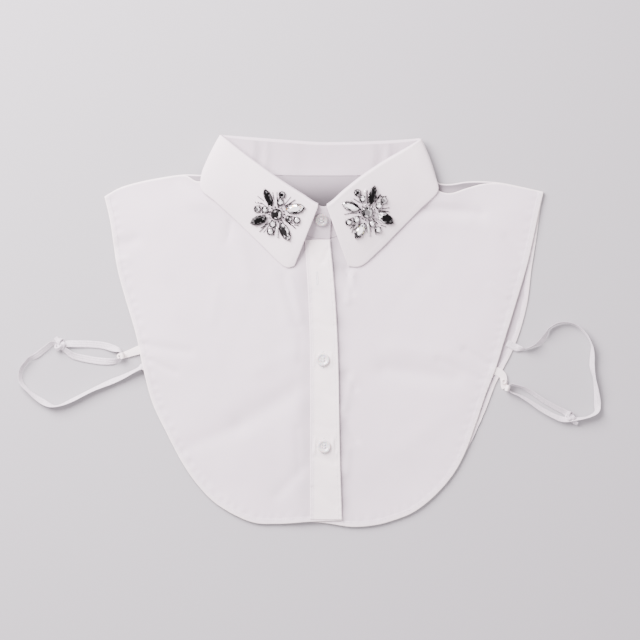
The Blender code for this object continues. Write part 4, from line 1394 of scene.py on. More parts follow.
@dataclass
class Studio:
    """Camera straight above the garment, soft light and a plain floor."""

    eye: tuple[float, float, float] = (-0.0036, 0.0099, 3.0)
    lens: float = 187.5
    sensor: float = 36.0
    floor_size: float = 6.0
    floor_height: float = -0.0003
    key_power: float = 103.0
    fill_power: float = 14.0
    tint: tuple[float, float, float] = (1.0, 0.905, 0.965)
    sky: tuple[float, float, float] = (0.67, 0.595, 0.645)
    sky_strength: float = 1.36

    def build(self) -> None:
        """Set up the camera, the lights, the sky and the floor."""
        camera_data = bpy.data.cameras.new("camera")
        camera_data.lens = self.lens
        camera_data.sensor_width = self.sensor
        camera = bpy.data.objects.new("camera", camera_data)
        camera.location = self.eye
        bpy.context.collection.objects.link(camera)
        bpy.context.scene.camera = camera
        self.add_light("key_light", self.key_power, 1.0, (-0.75, 0.8, 0.9))
        self.add_light("fill_light", self.fill_power, 1.6, (0.9, -0.6, 1.4))
        world = bpy.data.worlds.new("sky")
        world.use_nodes = True
        background = world.node_tree.nodes["Background"]
        background.inputs["Color"].default_value = (*self.sky, 1.0)
        background.inputs["Strength"].default_value = self.sky_strength
        bpy.context.scene.world = world
        self.add_floor()

    def add_light(
        self, name: str, power: float, size: float, place: tuple[float, float, float]
    ) -> None:
        """Add a square light that shines on the middle of the garment.

        Args:
            name: Its name.
            power: Its power in watts.
            size: Its side in metres.
            place: Where it hangs.
        """
        light = bpy.data.lights.new(name, "AREA")
        light.energy = power
        light.size = size
        light.color = self.tint
        lamp = bpy.data.objects.new(name, light)
        lamp.location = place
        lamp.rotation_euler = Vector(place).to_track_quat("Z", "Y").to_euler()
        bpy.context.collection.objects.link(lamp)

    def add_floor(self) -> None:
        """Add the plain floor."""
        half = self.floor_size / 2
        corners = [(-half, -half), (half, -half), (half, half), (-half, half)]
        mesh = bpy.data.meshes.new("floor")
        mesh.from_pydata([(x, y, self.floor_height) for x, y in corners], [], [(0, 1, 2, 3)])
        mesh.materials.append(FloorFinish().make())
        floor = bpy.data.objects.new("floor", mesh)
        bpy.context.collection.objects.link(floor)


@dataclass
class ElasticTie:
    """A flat elastic cord, looped through a tab and knotted."""

    name: str
    routes: tuple[Rows, ...]
    knot: str
    length: float
    exit_rows: int = 0
    width: float = 6.2
    thick: float = 0.8
    ribs: int = 3
    rib_depth: float = 0.24
    steps: int = 8
    knot_steps: int = 90
    knot_width: float = 3.6
    knot_thick: float = 1.5
    nodes: tuple[str, ...] = ()
    tail: Rows = ()

    def outline(self) -> np.ndarray:
        """Return the ribbon's section: across and through its thickness."""
        shares = np.linspace(-1.0, 1.0, 4 * self.ribs + 1)
        rib = self.rib_depth * (np.abs(np.cos(shares * self.ribs * math.pi / 2)) - 1)
        thin = np.sqrt(1 - np.minimum(np.abs(shares), 0.985) ** 8)
        upper = (self.thick / 2 + rib) * thin
        across = shares * self.width / 2
        face = np.stack((across, upper), axis=1)
        back = np.stack((across, -upper), axis=1)[::-1]
        return np.concatenate((face, back))

    def sweep(self, route: np.ndarray, section: np.ndarray) -> tuple[np.ndarray, np.ndarray]:
        """Sweep a section along a route.

        Args:
            route: Rows of x, y, tilt and height.
            section: Points across and through the band.

        Returns:
            The middle line and the rings round it.
        """
        tilt = np.radians(route[:, 2])
        rise = (self.width * np.sin(tilt) + self.thick * np.cos(tilt)) / 2
        middle = np.stack((route[:, 0], route[:, 1], route[:, 3] + rise), axis=1)
        along = np.gradient(middle, axis=0)
        level = unit(np.stack((-along[:, 1], along[:, 0], np.zeros(len(along))), axis=1))
        up = np.array((0.0, 0.0, 1.0))
        across = level * np.cos(tilt)[:, None] + up * np.sin(tilt)[:, None]
        normal = unit(np.cross(along, across))
        rings = middle[:, None] + across[:, None] * section[None, :, :1]
        return middle, rings + normal[:, None] * section[None, :, 1:]

    def build_knot(self, finish: bpy.types.Material) -> bpy.types.Object:
        """Wind the elastic into a tight overhand knot.

        Args:
            finish: The elastic's material.

        Returns:
            The knot.
        """
        x, y, half_length, half_width, height, turn = KNOTS[self.knot]
        turns = np.linspace(0.0, 2 * math.pi, self.knot_steps, endpoint=False)
        loop = np.stack(
            (
                (np.sin(turns) + 2 * np.sin(2 * turns)) / 3,
                (np.cos(turns) - 2 * np.cos(2 * turns)) / 3,
                -np.sin(3 * turns),
            ),
            axis=1,
        )
        margin = 0.6 * self.knot_thick
        size = np.array((half_length - margin, half_width - margin, height / 2 - 1.4 * margin))
        angle = math.radians(turn)
        spin = np.array(((math.cos(angle), math.sin(angle)), (-math.sin(angle), math.cos(angle))))
        line = loop * size
        line[:, :2] = line[:, :2] @ spin
        centre = np.array((x, y, height / 2 + 0.3))
        forward = unit(np.roll(line, -1, axis=0) - np.roll(line, 1, axis=0))
        outward = line * (1.0, 1.0, 1.8) + (0.0, 0.0, 0.6)
        outward = unit(outward - (outward * forward).sum(axis=1, keepdims=True) * forward)
        across = np.cross(forward, outward)
        section = self.outline()
        section = section * (self.knot_width / self.width, self.knot_thick / self.thick)
        rings = (line + centre)[:, None] + across[:, None] * section[None, :, :1]
        rings = rings + outward[:, None] * section[None, :, 1:]
        rings[..., 2] = np.maximum(rings[..., 2], 0.12)
        parts = MeshParts()
        parts.add_rings(rings, closed=True)
        core = []
        for ring in np.linspace(0.12, 0.88, 9) * math.pi:
            share = 0.62 * math.sin(ring)
            angles = np.linspace(0.0, 2 * math.pi, 16, endpoint=False)
            flat = np.stack((np.cos(angles) * half_length, np.sin(angles) * half_width), axis=1)
            flat = share * flat @ spin + (x, y)
            level = np.full((16, 1), centre[2] - 0.36 * height * math.cos(ring))
            core.append(np.hstack((flat, level)))
        parts.add_rings(np.array(core))
        if self.tail:
            _, rings = self.sweep(smooth_rows(self.tail, self.steps), self.outline() * (0.75, 1.0))
            parts.add_rings(rings)
        return settle(parts.build(self.knot, finish), Slot.ELASTIC, (self.knot,))

    def build(self, finish: bpy.types.Material) -> None:
        """Args:
            finish: The elastic's material.
        """
        knot_x, knot_y, *_ = KNOTS[self.knot]
        end_x, end_y, end_tilt, end_height = self.routes[-1][-1]
        into_knot = ((end_x + knot_x) / 2, (end_y + knot_y) / 2, end_tilt, end_height + 0.6)
        rows = sum(self.routes, ()) + (into_knot,)
        route = smooth_rows(rows, self.steps)
        middle, rings = self.sweep(route, self.outline())
        parts = MeshParts()
        parts.add_rings(rings)
        ribbon = settle(parts.build(self.name, finish), Slot.ELASTIC, self.nodes)
        knot = self.build_knot(finish)
        path = middle * MM
        LOG.info("%s is %.4f m long", self.name, path_lengths(path)[-1])


@dataclass
class Bodice:
    """The back, the two fronts and the placket, with their stitched hems."""

    wardrobe: Wardrobe
    step: float = 2.0
    back_step: float = 4.5
    hem_inset: float = 3.5
    front_turns: tuple[int, int, int] = (8, 9, 17)
    back_turns: tuple[int, int, int] = (7, 12, 15)
    placket_stitch: float = 3.0

    def front_plan(
        self, armhole: Rows, hem: Rows, centre: Rows, shoulder: Rows, neck_rows: Rows
    ) -> Grid:
        """Lay out the fine grid of a front panel.

        Args:
            armhole: Its armhole edge from hem to shoulder.
            hem: Its lower edge from armhole to centre.
            centre: Its centre edge from hem to neck.
            shoulder: Its shoulder from armhole to neck.
            neck_rows: Rows of the collar stand along its neck.

        Returns:
            The grid of points in plan.
        """
        shoulder_steps, neck_steps, side_steps = self.front_turns
        total = shoulder_steps + neck_steps
        neck = neckline(neck_rows)
        corner = shoulder_steps / total
        across = fine_shares(190.0, self.step, (True, False), (corner,))
        up = fine_shares(265.0, self.step, (True, True))
        top = along_side(
            ((shoulder + (neck[0],), shoulder_steps), (neck, neck_steps)), across
        )
        bottom = along_side(((hem, total),), across)
        left = along_side(((armhole, side_steps),), up)
        right = along_side(((centre, side_steps),), up)
        return patch(bottom, top, left, right, across, up)

    def back_plan(self) -> Grid:
        """Lay out the fine grid of the back panel."""
        shoulder_steps, neck_steps, side_steps = self.back_turns
        total = 2 * shoulder_steps + neck_steps
        neck = neckline(STAND_ROWS[FIRST_BACK_ROW:LAST_BACK_ROW + 1])
        corners = (shoulder_steps / total, (shoulder_steps + neck_steps) / total)
        across = fine_shares(350.0, self.back_step, (True, True), corners)
        up = fine_shares(285.0, self.back_step, (True, True))
        top = along_side(
            (
                (BACK_RIGHT_SHOULDER + (neck[0],), shoulder_steps),
                (neck, neck_steps),
                ((neck[-1],) + BACK_LEFT_SHOULDER, shoulder_steps),
            ),
            across,
        )
        bottom = along_side(((BACK_HEM, total),), across)
        left = along_side(((BACK_RIGHT_ARMHOLE, side_steps),), up)
        right = along_side(((BACK_LEFT_ARMHOLE, side_steps),), up)
        return patch(bottom, top, left, right, across, up)

    def placket_plan(self) -> Grid:
        """Lay out the fine grid of the placket."""
        places = fine_shares(251.0, 1.3, (True, True)) * (len(PLACKET_ROWS) - 1)
        rows = curve_at(PLACKET_ROWS, places)
        shares = fine_shares(26.0, 1.2, (True, True))
        x = rows[:, 1:2] * (1 - shares) + rows[:, 2:] * shares
        y = np.broadcast_to(rows[:, :1], x.shape)
        return np.dstack((x, y))

    def hem_stitches(
        self, name: str, panel: bpy.types.Object, lines: Sequence[np.ndarray],
        centre: tuple[float, float], distance: float,
    ) -> bpy.types.Object:
        """Sew along a panel's hems.

        Args:
            name: The stitches' name.
            panel: The panel.
            lines: Its hemmed edges.
            centre: A place inside it.
            distance: From the edges to the stitches.

        Returns:
            The stitches.
        """
        stitching = Stitching(name, self.wardrobe.thread)
        surface = Surface(panel)
        for line in lines:
            stitching.add_line(inset(line, distance, centre), surface)
        return stitching.build()

    def build_front(
        self, name: str, node: str, edges: tuple[Rows, Rows, Rows, Rows], neck_rows: Rows,
        top: Height, tone: Height, inside: tuple[float, float],
    ) -> tuple[bpy.types.Object, bpy.types.Object]:
        """Make one front and its hem stitches.

        Args:
            name: Its name.
            node: The solid that it replaces.
            edges: Its armhole, hem, centre edge and shoulder.
            neck_rows: Rows of the collar stand along its neck.
            top: The height of its upper face.
            tone: How bright its cloth is, painted shade included.
            inside: A place inside it.

        Returns:
            The panel and the stitches.
        """
        armhole, hem, centre, shoulder = edges
        hems = (smooth_rows(armhole, 8), smooth_rows(hem, 8))
        turned = (smooth_rows(shoulder, 8),)
        cloth = ClothPanel(name, node, self.wardrobe.poplin, top, hems, turned, layers_and_painted_light=tone)
        panel = cloth.build(self.front_plan(armhole, hem, centre, shoulder, neck_rows))
        stitches = self.hem_stitches(name + "_stitches", panel, hems, inside, self.hem_inset)
        return panel, stitches

    def build_back(self) -> tuple[bpy.types.Object, bpy.types.Object]:
        """Make the back and its hem stitches."""
        hems = tuple(
            smooth_rows(rows, 8) for rows in (BACK_RIGHT_ARMHOLE, BACK_LEFT_ARMHOLE, BACK_HEM)
        )
        shoulders = tuple(
            smooth_rows(rows, 8) for rows in (BACK_RIGHT_SHOULDER, BACK_LEFT_SHOULDER)
        )
        cloth = ClothPanel(
            "back", "back_panel", self.wardrobe.poplin, back_top, hems, shoulders, layers_and_painted_light=back_tone
        )
        panel = cloth.build(self.back_plan())
        return panel, self.hem_stitches(
            "back_stitches", panel, hems, (0.0, 0.0), self.hem_inset
        )

    def build_placket(self) -> tuple[bpy.types.Object, bpy.types.Object]:
        """Make the placket and its edge stitches."""
        plan = self.placket_plan()
        sides = (plan[:, 0], plan[:, -1])
        cloth = ClothPanel(
            "placket", "front_placket", self.wardrobe.poplin, placket_top, sides, (),
            hem_width=2.4, hem_rise=0.08, hem_drop=0.0, pucker=0.05, layers_and_painted_light=placket_tone,
            rim_highlight=0.2,
        )
        panel = cloth.build(plan)
        return panel, self.hem_stitches(
            "placket_stitches", panel, sides, (-1.0, 0.0), self.placket_stitch
        )

    def build(self) -> None:
        """Make the panels."""
        self.back, self.back_stitches = self.build_back()
        self.right, self.right_stitches = self.build_front(
            "front_right", "front_panel_right",
            (FRONT_RIGHT_ARMHOLE, FRONT_RIGHT_HEM, FREE_EDGE, FRONT_RIGHT_SHOULDER),
            STAND_ROWS[FIRST_BACK_ROW - 1::-1], right_top, right_tone, (-70.0, 0.0),
        )
        self.left, self.left_stitches = self.build_front(
            "front_left", "front_panel_left",
            (FRONT_LEFT_ARMHOLE, FRONT_LEFT_HEM, UNDER_EDGE, FRONT_LEFT_SHOULDER),
            STAND_ROWS[LAST_BACK_ROW + 1:], left_top, left_tone, (70.0, 0.0),
        )
        self.placket, self.placket_stitches = self.build_placket()


@dataclass
class Collar:
    """The stand round the neck and the leaf that turns down over it."""

    wardrobe: Wardrobe
    step: float = 1.7
    length: float = 445.0
    edge_round: float = 0.5
    allowance: float = 0.1
    seam_lap: float = 0.4
    seam_reach: float = 0.6

    def stations(self, places: np.ndarray) -> tuple[np.ndarray, np.ndarray, np.ndarray]:
        """Find the neck seam and the roll.

        Args:
            places: Places round the neck, in rows of the table.

        Returns:
            The seam's points, the roll's points and the roll's radii.
        """
        rows = []
        for place, (seam_x, seam_y, share, *roll) in enumerate(STAND_ROWS):
            x, y = np.array(seam_x), np.array(seam_y)
            back = float(back_height(x, y))
            front = float(front_height(x, y, place < FIRST_BACK_ROW))
            rows.append((seam_x, seam_y, back + share * (front - back) + WALL / 2, *roll))
        found = curve_at(rows, places)
        return found[:, :3], found[:, 3:6], found[:, 6:]

    def edge(self, places: np.ndarray) -> np.ndarray:
        """Return the leaf's outer edge and its share on the front, at places round the neck."""
        rows = []
        for place, (x, y, share, lift) in enumerate(LEAF_ROWS, start=1):
            height = front_height(np.array(x), np.array(y), place < FIRST_BACK_ROW)
            on_front = float(height) + 1.5 * WALL + SEAM_GAP
            rows.append((x, y, WALL / 2 + share * (on_front - WALL / 2) + lift, share))
        return curve_at(rows, places - 1)

    def axes(self, seam: np.ndarray, roll: np.ndarray) -> tuple[np.ndarray, np.ndarray]:
        """Return the upward and outward directions of the collar's sections."""
        along = np.gradient((seam + roll) / 2, axis=0)
        upward = unit(roll - seam)
        return upward, unit(np.cross(upward, along))

    def thicken(self, grid: Grid, edges: np.ndarray) -> tuple[Grid, Grid]:
        """Give a grid of middle points its wall, rounded at the edges.

        Args:
            grid: The middle points.
            edges: Each point's distance from the nearest edge.

        Returns:
            The outer and the inner face.
        """
        normals = unit(np.cross(np.gradient(grid, axis=1), np.gradient(grid, axis=0)))
        near = 1 - np.clip(edges / self.edge_round, 0.0, 1.0)
        half = WALL / 2 * (0.25 + 0.75 * np.sqrt(1 - near**2))
        ridge = smooth_step((edges - 0.4) / 0.5) * (1 - smooth_step((edges - 5.5) / 1.2))
        half = (half + self.allowance * ridge)[..., None]
        return grid + normals * half, grid - normals * half

    def distances(self, grid: Grid, open_sides: tuple[bool, bool]) -> np.ndarray:
        """Find how far points of a grid are from its ends and its open sides.

        Args:
            grid: The points.
            open_sides: Whether the first and the last column are edges.

        Returns:
            The distances.
        """
        down = np.linalg.norm(np.diff(grid, axis=0), axis=2)
        down = np.vstack((np.zeros(grid.shape[1]), np.cumsum(down, axis=0)))
        across = np.linalg.norm(np.diff(grid, axis=1), axis=2)
        across = np.hstack((np.zeros((len(grid), 1)), np.cumsum(across, axis=1)))
        nearest = np.minimum(down, down[-1:] - down)
        if open_sides[0]:
            nearest = np.minimum(nearest, across)
        if open_sides[1]:
            nearest = np.minimum(nearest, across[:, -1:] - across)
        return nearest

    def build_stand(self) -> bpy.types.Object:
        """Make the stand."""
        places = fine_shares(self.length, self.step, (True, True)) * (len(STAND_ROWS) - 1)
        seam, roll, radius = self.stations(places)
        upward, outward = self.axes(seam, roll)
        top = roll - radius * outward - (radius - self.seam_lap) * upward
        shares = fine_shares(30.0, 1.5, (True, True))[None, :, None]
        foot = seam - self.seam_reach * upward
        grid = foot[:, None] * (1 - shares) + top[:, None] * shares
        edges = self.distances(grid, (True, False))
        swell = np.zeros(grid.shape[:2])
        behind = smooth_step((grid[..., 1] - 138.0) / 4.0)
        for place, height, half_width in STAND_WRINKLES:
            lean = grid[..., 0] - place - 0.12 * (grid[..., 1] - 155.0)
            swell += height * np.exp(-((lean / half_width) ** 2))
        bend = 4 * shares[..., 0] * (1 - shares[..., 0])
        grid = grid + (swell * behind * bend * 0.5)[..., None] * outward[:, None]
        outer, inner = self.thicken(grid, edges)
        parts = MeshParts()
        add_wall(parts, outer, inner)
        stand = parts.build("stand", self.wardrobe.poplin)
        # Painted shade: the stand is darker than laid cloth, darker still towards its top and in the troughs of
        # its wrinkles.
        back_share = smooth_step((grid[..., 1] - 125.0) / 15.0)
        tone = 0.40 + 0.04 * (1 - shares[..., 0]) + 0.06 * np.minimum(swell, 0.0)
        set_layers_and_painted_light(stand, 0.42 * (1 - back_share) + tone * back_share)
        return settle(stand, Slot.POPLIN, ("collar_stand",))

    def build_leaf(self) -> bpy.types.Object:
        """Make the leaf: the roll over the stand's top, then the fall to its edge."""
        last = len(STAND_ROWS) - 3
        places = 1 + fine_shares(self.length, self.step, (True, True)) * last
        seam, roll, radius = self.stations(places)
        upward, outward = self.axes(seam, roll)
        centre = roll - upward * (radius - SEAM_GAP * FULL_ROLL / radius)
        edge = self.edge(places)
        front = edge[:, 3:]
        columns = []
        for turn in np.linspace(0.0, math.pi, 15):
            swing = -outward * math.cos(turn) + upward * math.sin(turn)
            columns.append(centre + radius * swing)
        start = columns[-1]
        for share in fine_shares(52.0, 2.2, (False, True))[1:]:
            crown = LEAF_CROWN * 4 * share * (1 - share) * front * outward
            columns.append(start * (1 - share) + edge[:, :3] * share + crown)
        grid = np.stack(columns, axis=1)
        grid[:, :, 2] = np.maximum(grid[:, :, 2], WALL / 2 + TABLE_CLEAR)
        x, y = grid[..., 0], grid[..., 1]
        shown = np.minimum(1.0, self.distances(grid, (True, False)) / 14.0)
        grid[..., 2] += shown * front * 0.8 * ripple_height(x + 12.0, y - 30.0)
        outer, inner = self.thicken(grid, self.distances(grid, (False, True)))
        parts = MeshParts()
        add_wall(parts, outer, inner)
        leaf = parts.build("leaf", self.wardrobe.poplin)
        # Painted shadow round each crystal cluster; most of the roll over the stand is painted darker as shade,
        # the fall is lighter doubled cloth.
        cluster_shadow = np.zeros(grid.shape[:2])
        for (middle_x, middle_y), _ in CLUSTERS.values():
            reach = np.hypot(x - middle_x, y - middle_y)
            cluster_shadow += np.exp(-((reach / 19.0) ** 4))
        tone = np.where(np.arange(grid.shape[1]) < 10, 0.46, 0.72)
        set_layers_and_painted_light(leaf, tone - 0.2 * cluster_shadow)
        return settle(leaf, Slot.POPLIN, ("collar_leaf",))

    def build(self) -> tuple[bpy.types.Object, bpy.types.Object]:
        """Make the stand and the leaf."""
        return self.build_stand(), self.build_leaf()


def axes_on(normal: np.ndarray, turn: float) -> tuple[np.ndarray, np.ndarray, np.ndarray]:
    """Return two directions along a surface, turned by degrees, and its normal."""
    angle = math.radians(turn)
    heading = np.array((math.cos(angle), math.sin(angle), 0.0))
    beside = unit(np.cross(normal, heading))
    return np.cross(beside, normal), beside, normal


@dataclass
class ShirtButton:
    """A dished four-hole button, sewn on with thread."""

    wardrobe: Wardrobe
    node: str
    x: float
    y: float
    finish: bpy.types.Material | None = None
    turn: float = 0.0
    radius: float = 5.8
    height: float = 2.4
    recess: float = 3.6
    dish: float = 0.75
    hole: float = 0.62
    hole_place: float = 1.25
    sides: int = 56

    def lathe(
        self, profile: Sequence[tuple[float, float]], seat: np.ndarray,
        axes: tuple[np.ndarray, np.ndarray, np.ndarray], sides: int,
    ) -> np.ndarray:
        """Turn a profile about the button's axis.

        Args:
            profile: Radii and heights.
            seat: The foot of the axis.
            axes: Two directions across and the axis.
            sides: Points in each ring.

        Returns:
            The rings.
        """
        across, beside, up = axes
        angles = np.linspace(0.0, 2 * math.pi, sides, endpoint=False)
        circle = np.cos(angles)[:, None] * across + np.sin(angles)[:, None] * beside
        return np.array([seat + radius * circle + height * up for radius, height in profile])

    def build(self, carrier: Surface) -> bpy.types.Object:
        """Make the button and its thread.

        Args:
            carrier: The cloth that it lies on.

        Returns:
            The thread.
        """
        point, normal = carrier.point(self.x, self.y)
        axes = axes_on(normal, self.turn)
        seat = point + normal * SEAM_GAP
        top, rim = self.height, self.radius
        floor = top - self.dish
        profile = (
            (0.01, 0.0), (rim - 1.4, 0.0), (rim - 0.6, 0.2), (rim - 0.1, 0.8),
            (rim, 1.25), (rim - 0.08, 1.7), (rim - 0.35, top - 0.15), (rim - 0.8, top),
            (rim - 1.4, top - 0.05), (self.recess + 0.35, top - 0.22),
            (self.recess, floor + 0.3), (self.recess - 0.35, floor + 0.05),
            (self.recess - 0.9, floor), (0.01, floor),
        )
        parts = MeshParts()
        parts.add_rings(self.lathe(profile, seat, axes, self.sides))
        body = parts.build(self.node + "_disc", self.finish or self.wardrobe.button, 35.0)
        drills = MeshParts()
        across, beside, up = axes
        corners = []
        for side, end in ((-1, -1), (1, -1), (1, 1), (-1, 1)):
            middle = seat + self.hole_place * (side * across + end * beside)
            corners.append(middle)
            shaft = ((self.hole, -0.5), (self.hole, top + 0.5))
            drills.add_rings(self.lathe(shaft, middle, axes, 14))
        tool = drills.build(self.node + "_drill", self.wardrobe.button)
        cut = body.modifiers.new("holes", "BOOLEAN")
        cut.object = tool
        cut.solver = "EXACT"
        bpy.context.view_layer.update()
        evaluated = body.evaluated_get(bpy.context.evaluated_depsgraph_get())
        drilled = bpy.data.meshes.new_from_object(evaluated)
        body.modifiers.clear()
        body.data = drilled
        body.data.set_sharp_from_angle(angle=math.radians(35.0))
        bpy.data.objects.remove(tool)
        settle(body, Slot.BUTTON, (self.node,))
        thread = Stitching(self.node + "_thread", self.wardrobe.thread, radius=0.3)
        lift = up * (floor + 0.12)
        for first, second in ((0, 1), (3, 2)):
            for shift in (-0.22, 0.22):
                move = lift + beside * shift
                thread.add_stitch(corners[first] + move, corners[second] + move, up)
        return settle(
            thread.parts.build(self.node + "_thread", self.wardrobe.thread), Slot.POPLIN
        )


@dataclass
class Buttonholes:
    """Upright satin-stitched buttonholes in the placket."""

    wardrobe: Wardrobe
    places: tuple[tuple[float, float, float], ...]
    lean: float = 2.0
    half_slit: float = 0.22
    bead: float = 0.85
    pitch: float = 0.42

    def build(self, carrier: Surface) -> bpy.types.Object:
        """Sew the buttonholes.

        Args:
            carrier: The placket.

        Returns:
            The stitches.
        """
        thread = Stitching("buttonhole_stitches", self.wardrobe.thread, radius=0.24)
        tilt = math.radians(self.lean)
        for x, y, length in self.places:
            for along in np.arange(-length / 2, length / 2, self.pitch):
                middle_x = x - along * math.sin(tilt)
                middle_y = y + along * math.cos(tilt)
                bar = abs(along) > length / 2 - 0.9
                spans = ((-1.25, 1.25),) if bar else (
                    (-self.half_slit - self.bead, -self.half_slit),
                    (self.half_slit, self.half_slit + self.bead),
                )
                for low, high in spans:
                    found = [carrier.point(middle_x + side, middle_y) for side in (low, high)]
                    if None not in found:
                        thread.add_stitch(found[0][0], found[1][0], found[0][1])
        return thread.build()


@dataclass
class CrystalCluster:
    """A round stone, navettes and small stones in claw settings, with bugle beads."""

    wardrobe: Wardrobe
    name: str
    cup_share: float = 0.42
    cup_grow: float = 0.5
    prong: float = 0.5
    seed: int = 0
    tones: list[tuple[float, float, float]] = field(default_factory=list)

    def outline(self, kind: StoneKind, length: float, width: float, angles: np.ndarray) -> np.ndarray:
        """Return the stone's outline in its own plane.

        Args:
            kind: Its cut.
            length: Its length.
            width: Its width.
            angles: Angles round it.

        Returns:
            Points along and across.
        """
        across = np.sin(angles) * width / 2
        if kind is StoneKind.LEAF:
            across = across * np.abs(np.sin(angles)) ** 0.35
        return np.stack((np.cos(angles) * length / 2, across), axis=1)

    def ring(
        self, kind: StoneKind, size: tuple[float, float], seat: np.ndarray,
        axes: tuple[np.ndarray, np.ndarray, np.ndarray], angles: np.ndarray,
        share: float, height: float, grow: float = 0.0,
    ) -> np.ndarray:
        """Place one ring of the stone or its setting.

        Args:
            kind: The stone's cut.
            size: Its length and width.
            seat: Its foot.
            axes: Two directions across and the normal.
            angles: Angles of the ring's points.
            share: The ring's share of the outline.
            height: Its height over the foot.
            grow: How much larger it is all round.

        Returns:
            The ring's points.
        """
        flat = self.outline(kind, size[0] * share + 2 * grow, size[1] * share + 2 * grow, angles)
        across, beside, up = axes
        return seat + flat[:, :1] * across + flat[:, 1:] * beside + up * height

    def random(self) -> float:
        """Return the next of a fixed series of numbers from 0 to 1."""
        self.seed += 1
        return math.modf(abs(math.sin(self.seed * 12.9898) * 43758.5453))[0]

    def cut_stone(
        self, parts: MeshParts, kind: StoneKind, size: tuple[float, float, float],
        seat: np.ndarray, axes: tuple[np.ndarray, np.ndarray, np.ndarray],
        tone: tuple[float, float, float, float, str],
    ) -> None:
        """Add one faceted stone, with a painted light or dark tone for each facet.

        Args:
            parts: The mesh that it goes into.
            kind: Its cut.
            size: Its length, width and height.
            seat: Its foot.
            axes: Two directions across and the normal.
            tone: Its row of tones.
        """
        length, width, height = size
        sides = 8 if kind is StoneKind.ROUND else 12
        levels = (
            (0.80, 0.0, 0.0), (1.0, 0.40, 0.0), (1.0, 0.5, 0.0),
            (0.84, 0.80, 0.5), (0.55, 1.0, 0.0),
        )
        angles = np.linspace(0.0, 2 * math.pi, sides, endpoint=False)
        rings = [
            self.ring(
                kind, (length, width), seat, axes,
                angles + shift * 2 * math.pi / sides, share, level * height,
            )
            for share, level, shift in levels
        ]
        points = np.concatenate(rings)
        faces = [tuple(range(sides))[::-1]]
        for level in range(len(levels) - 1):
            low, high = level * sides, (level + 1) * sides
            early = levels[level][2] <= levels[level + 1][2]
            for side in range(sides):
                after = (side + 1) % sides
                if early:
                    faces.append((low + side, low + after, high + side))
                    faces.append((low + after, high + after, high + side))
                else:
                    faces.append((low + side, low + after, high + after))
                    faces.append((low + side, high + after, high + side))
        faces.append(tuple((len(levels) - 1) * sides + side for side in range(sides)))
        # Painted reflections: facets towards the dark side get painted shade, the rest painted highlights of
        # random strength, a few tinted with a fleck.
        direction, start, dark, light, fleck = tone
        aim = np.array((math.cos(math.radians(direction)), math.sin(math.radians(direction))))
        middle = points.mean(axis=0)
        for number, face in enumerate(faces):
            away = (points[list(face)].mean(axis=0) - middle)[:2] / (0.5 * width)
            depth = float(away @ aim) - start + 0.9 * (self.random() - 0.5)
            sparkle = self.random()
            bright = 0.85 + 0.3 * sparkle if sparkle > 0.38 else 0.5 * sparkle
            gloom = 0.11 if sparkle > 0.86 else dark * (0.5 + 2.0 * sparkle)
            value = gloom if depth > 0 else light * bright
            tint = FLECKS[fleck] if number % 7 == 3 and depth <= 0 else FLECKS["none"]
            self.tones.append(tuple(value * part for part in tint))
        parts.add(points, faces)

    def set_stone(
        self, parts: MeshParts, kind: StoneKind, size: tuple[float, float, float],
        seat: np.ndarray, axes: tuple[np.ndarray, np.ndarray, np.ndarray],
    ) -> None:
        """Add one claw setting: a thin cup with prongs over the stone's edge.

        Args:
            parts: The mesh that it goes into.
            kind: The stone's cut.
            size: Its length, width and height.
            seat: Its foot.
            axes: Two directions across and the normal.
        """
        length, width, height = size
        angles = np.linspace(0.0, 2 * math.pi, 24, endpoint=False)
        wall = (
            (0.8, -0.4, 0.05), (1.0, 0.25, self.cup_grow), (1.0, self.cup_share * height, self.cup_grow),
            (1.0, self.cup_share * height, 0.06), (0.8, -0.1, 0.0),
        )
        rings = [
            self.ring(kind, (length, width), seat, axes, angles, share, level, grow)
            for share, level, grow in wall
        ]
        parts.add_rings(np.array(rings), closed=True)
        claws = (0.0, 55.0, 125.0, 180.0, 235.0, 305.0) if kind is StoneKind.LEAF else (45.0, 135.0, 225.0, 315.0)
        for claw in claws:
            angle = np.array((math.radians(claw),))
            foot = self.ring(kind, (length, width), seat, axes, angle, 1.0, 0.1, 0.35)[0]
            bend = self.ring(kind, (length, width), seat, axes, angle, 1.0, 0.55 * height, 0.4)[0]
            tip = self.ring(kind, (length, width), seat, axes, angle, 0.86, 0.86 * height, 0.0)[0]
            self.add_rod(parts, (foot, bend, tip), (self.prong, self.prong, 0.7 * self.prong), 7)

    def add_rod(
        self, parts: MeshParts, line: Sequence[np.ndarray], radii: Sequence[float], sides: int
    ) -> None:
        """Add a round rod along a line of points.

        Args:
            parts: The mesh that it goes into.
            line: Its points.
            radii: Its radius at each point.
            sides: Points round it.
        """
        points = np.array(line)
        along = unit(np.gradient(points, axis=0))
        side = unit(np.cross(along, np.array((0.13, 0.21, 0.97))))
        over = np.cross(side, along)
        angles = np.linspace(0.0, 2 * math.pi, sides, endpoint=False)[None, :, None]
        ring = np.cos(angles) * side[:, None] + np.sin(angles) * over[:, None]
        parts.add_rings(points[:, None] + ring * np.array(radii)[:, None, None])

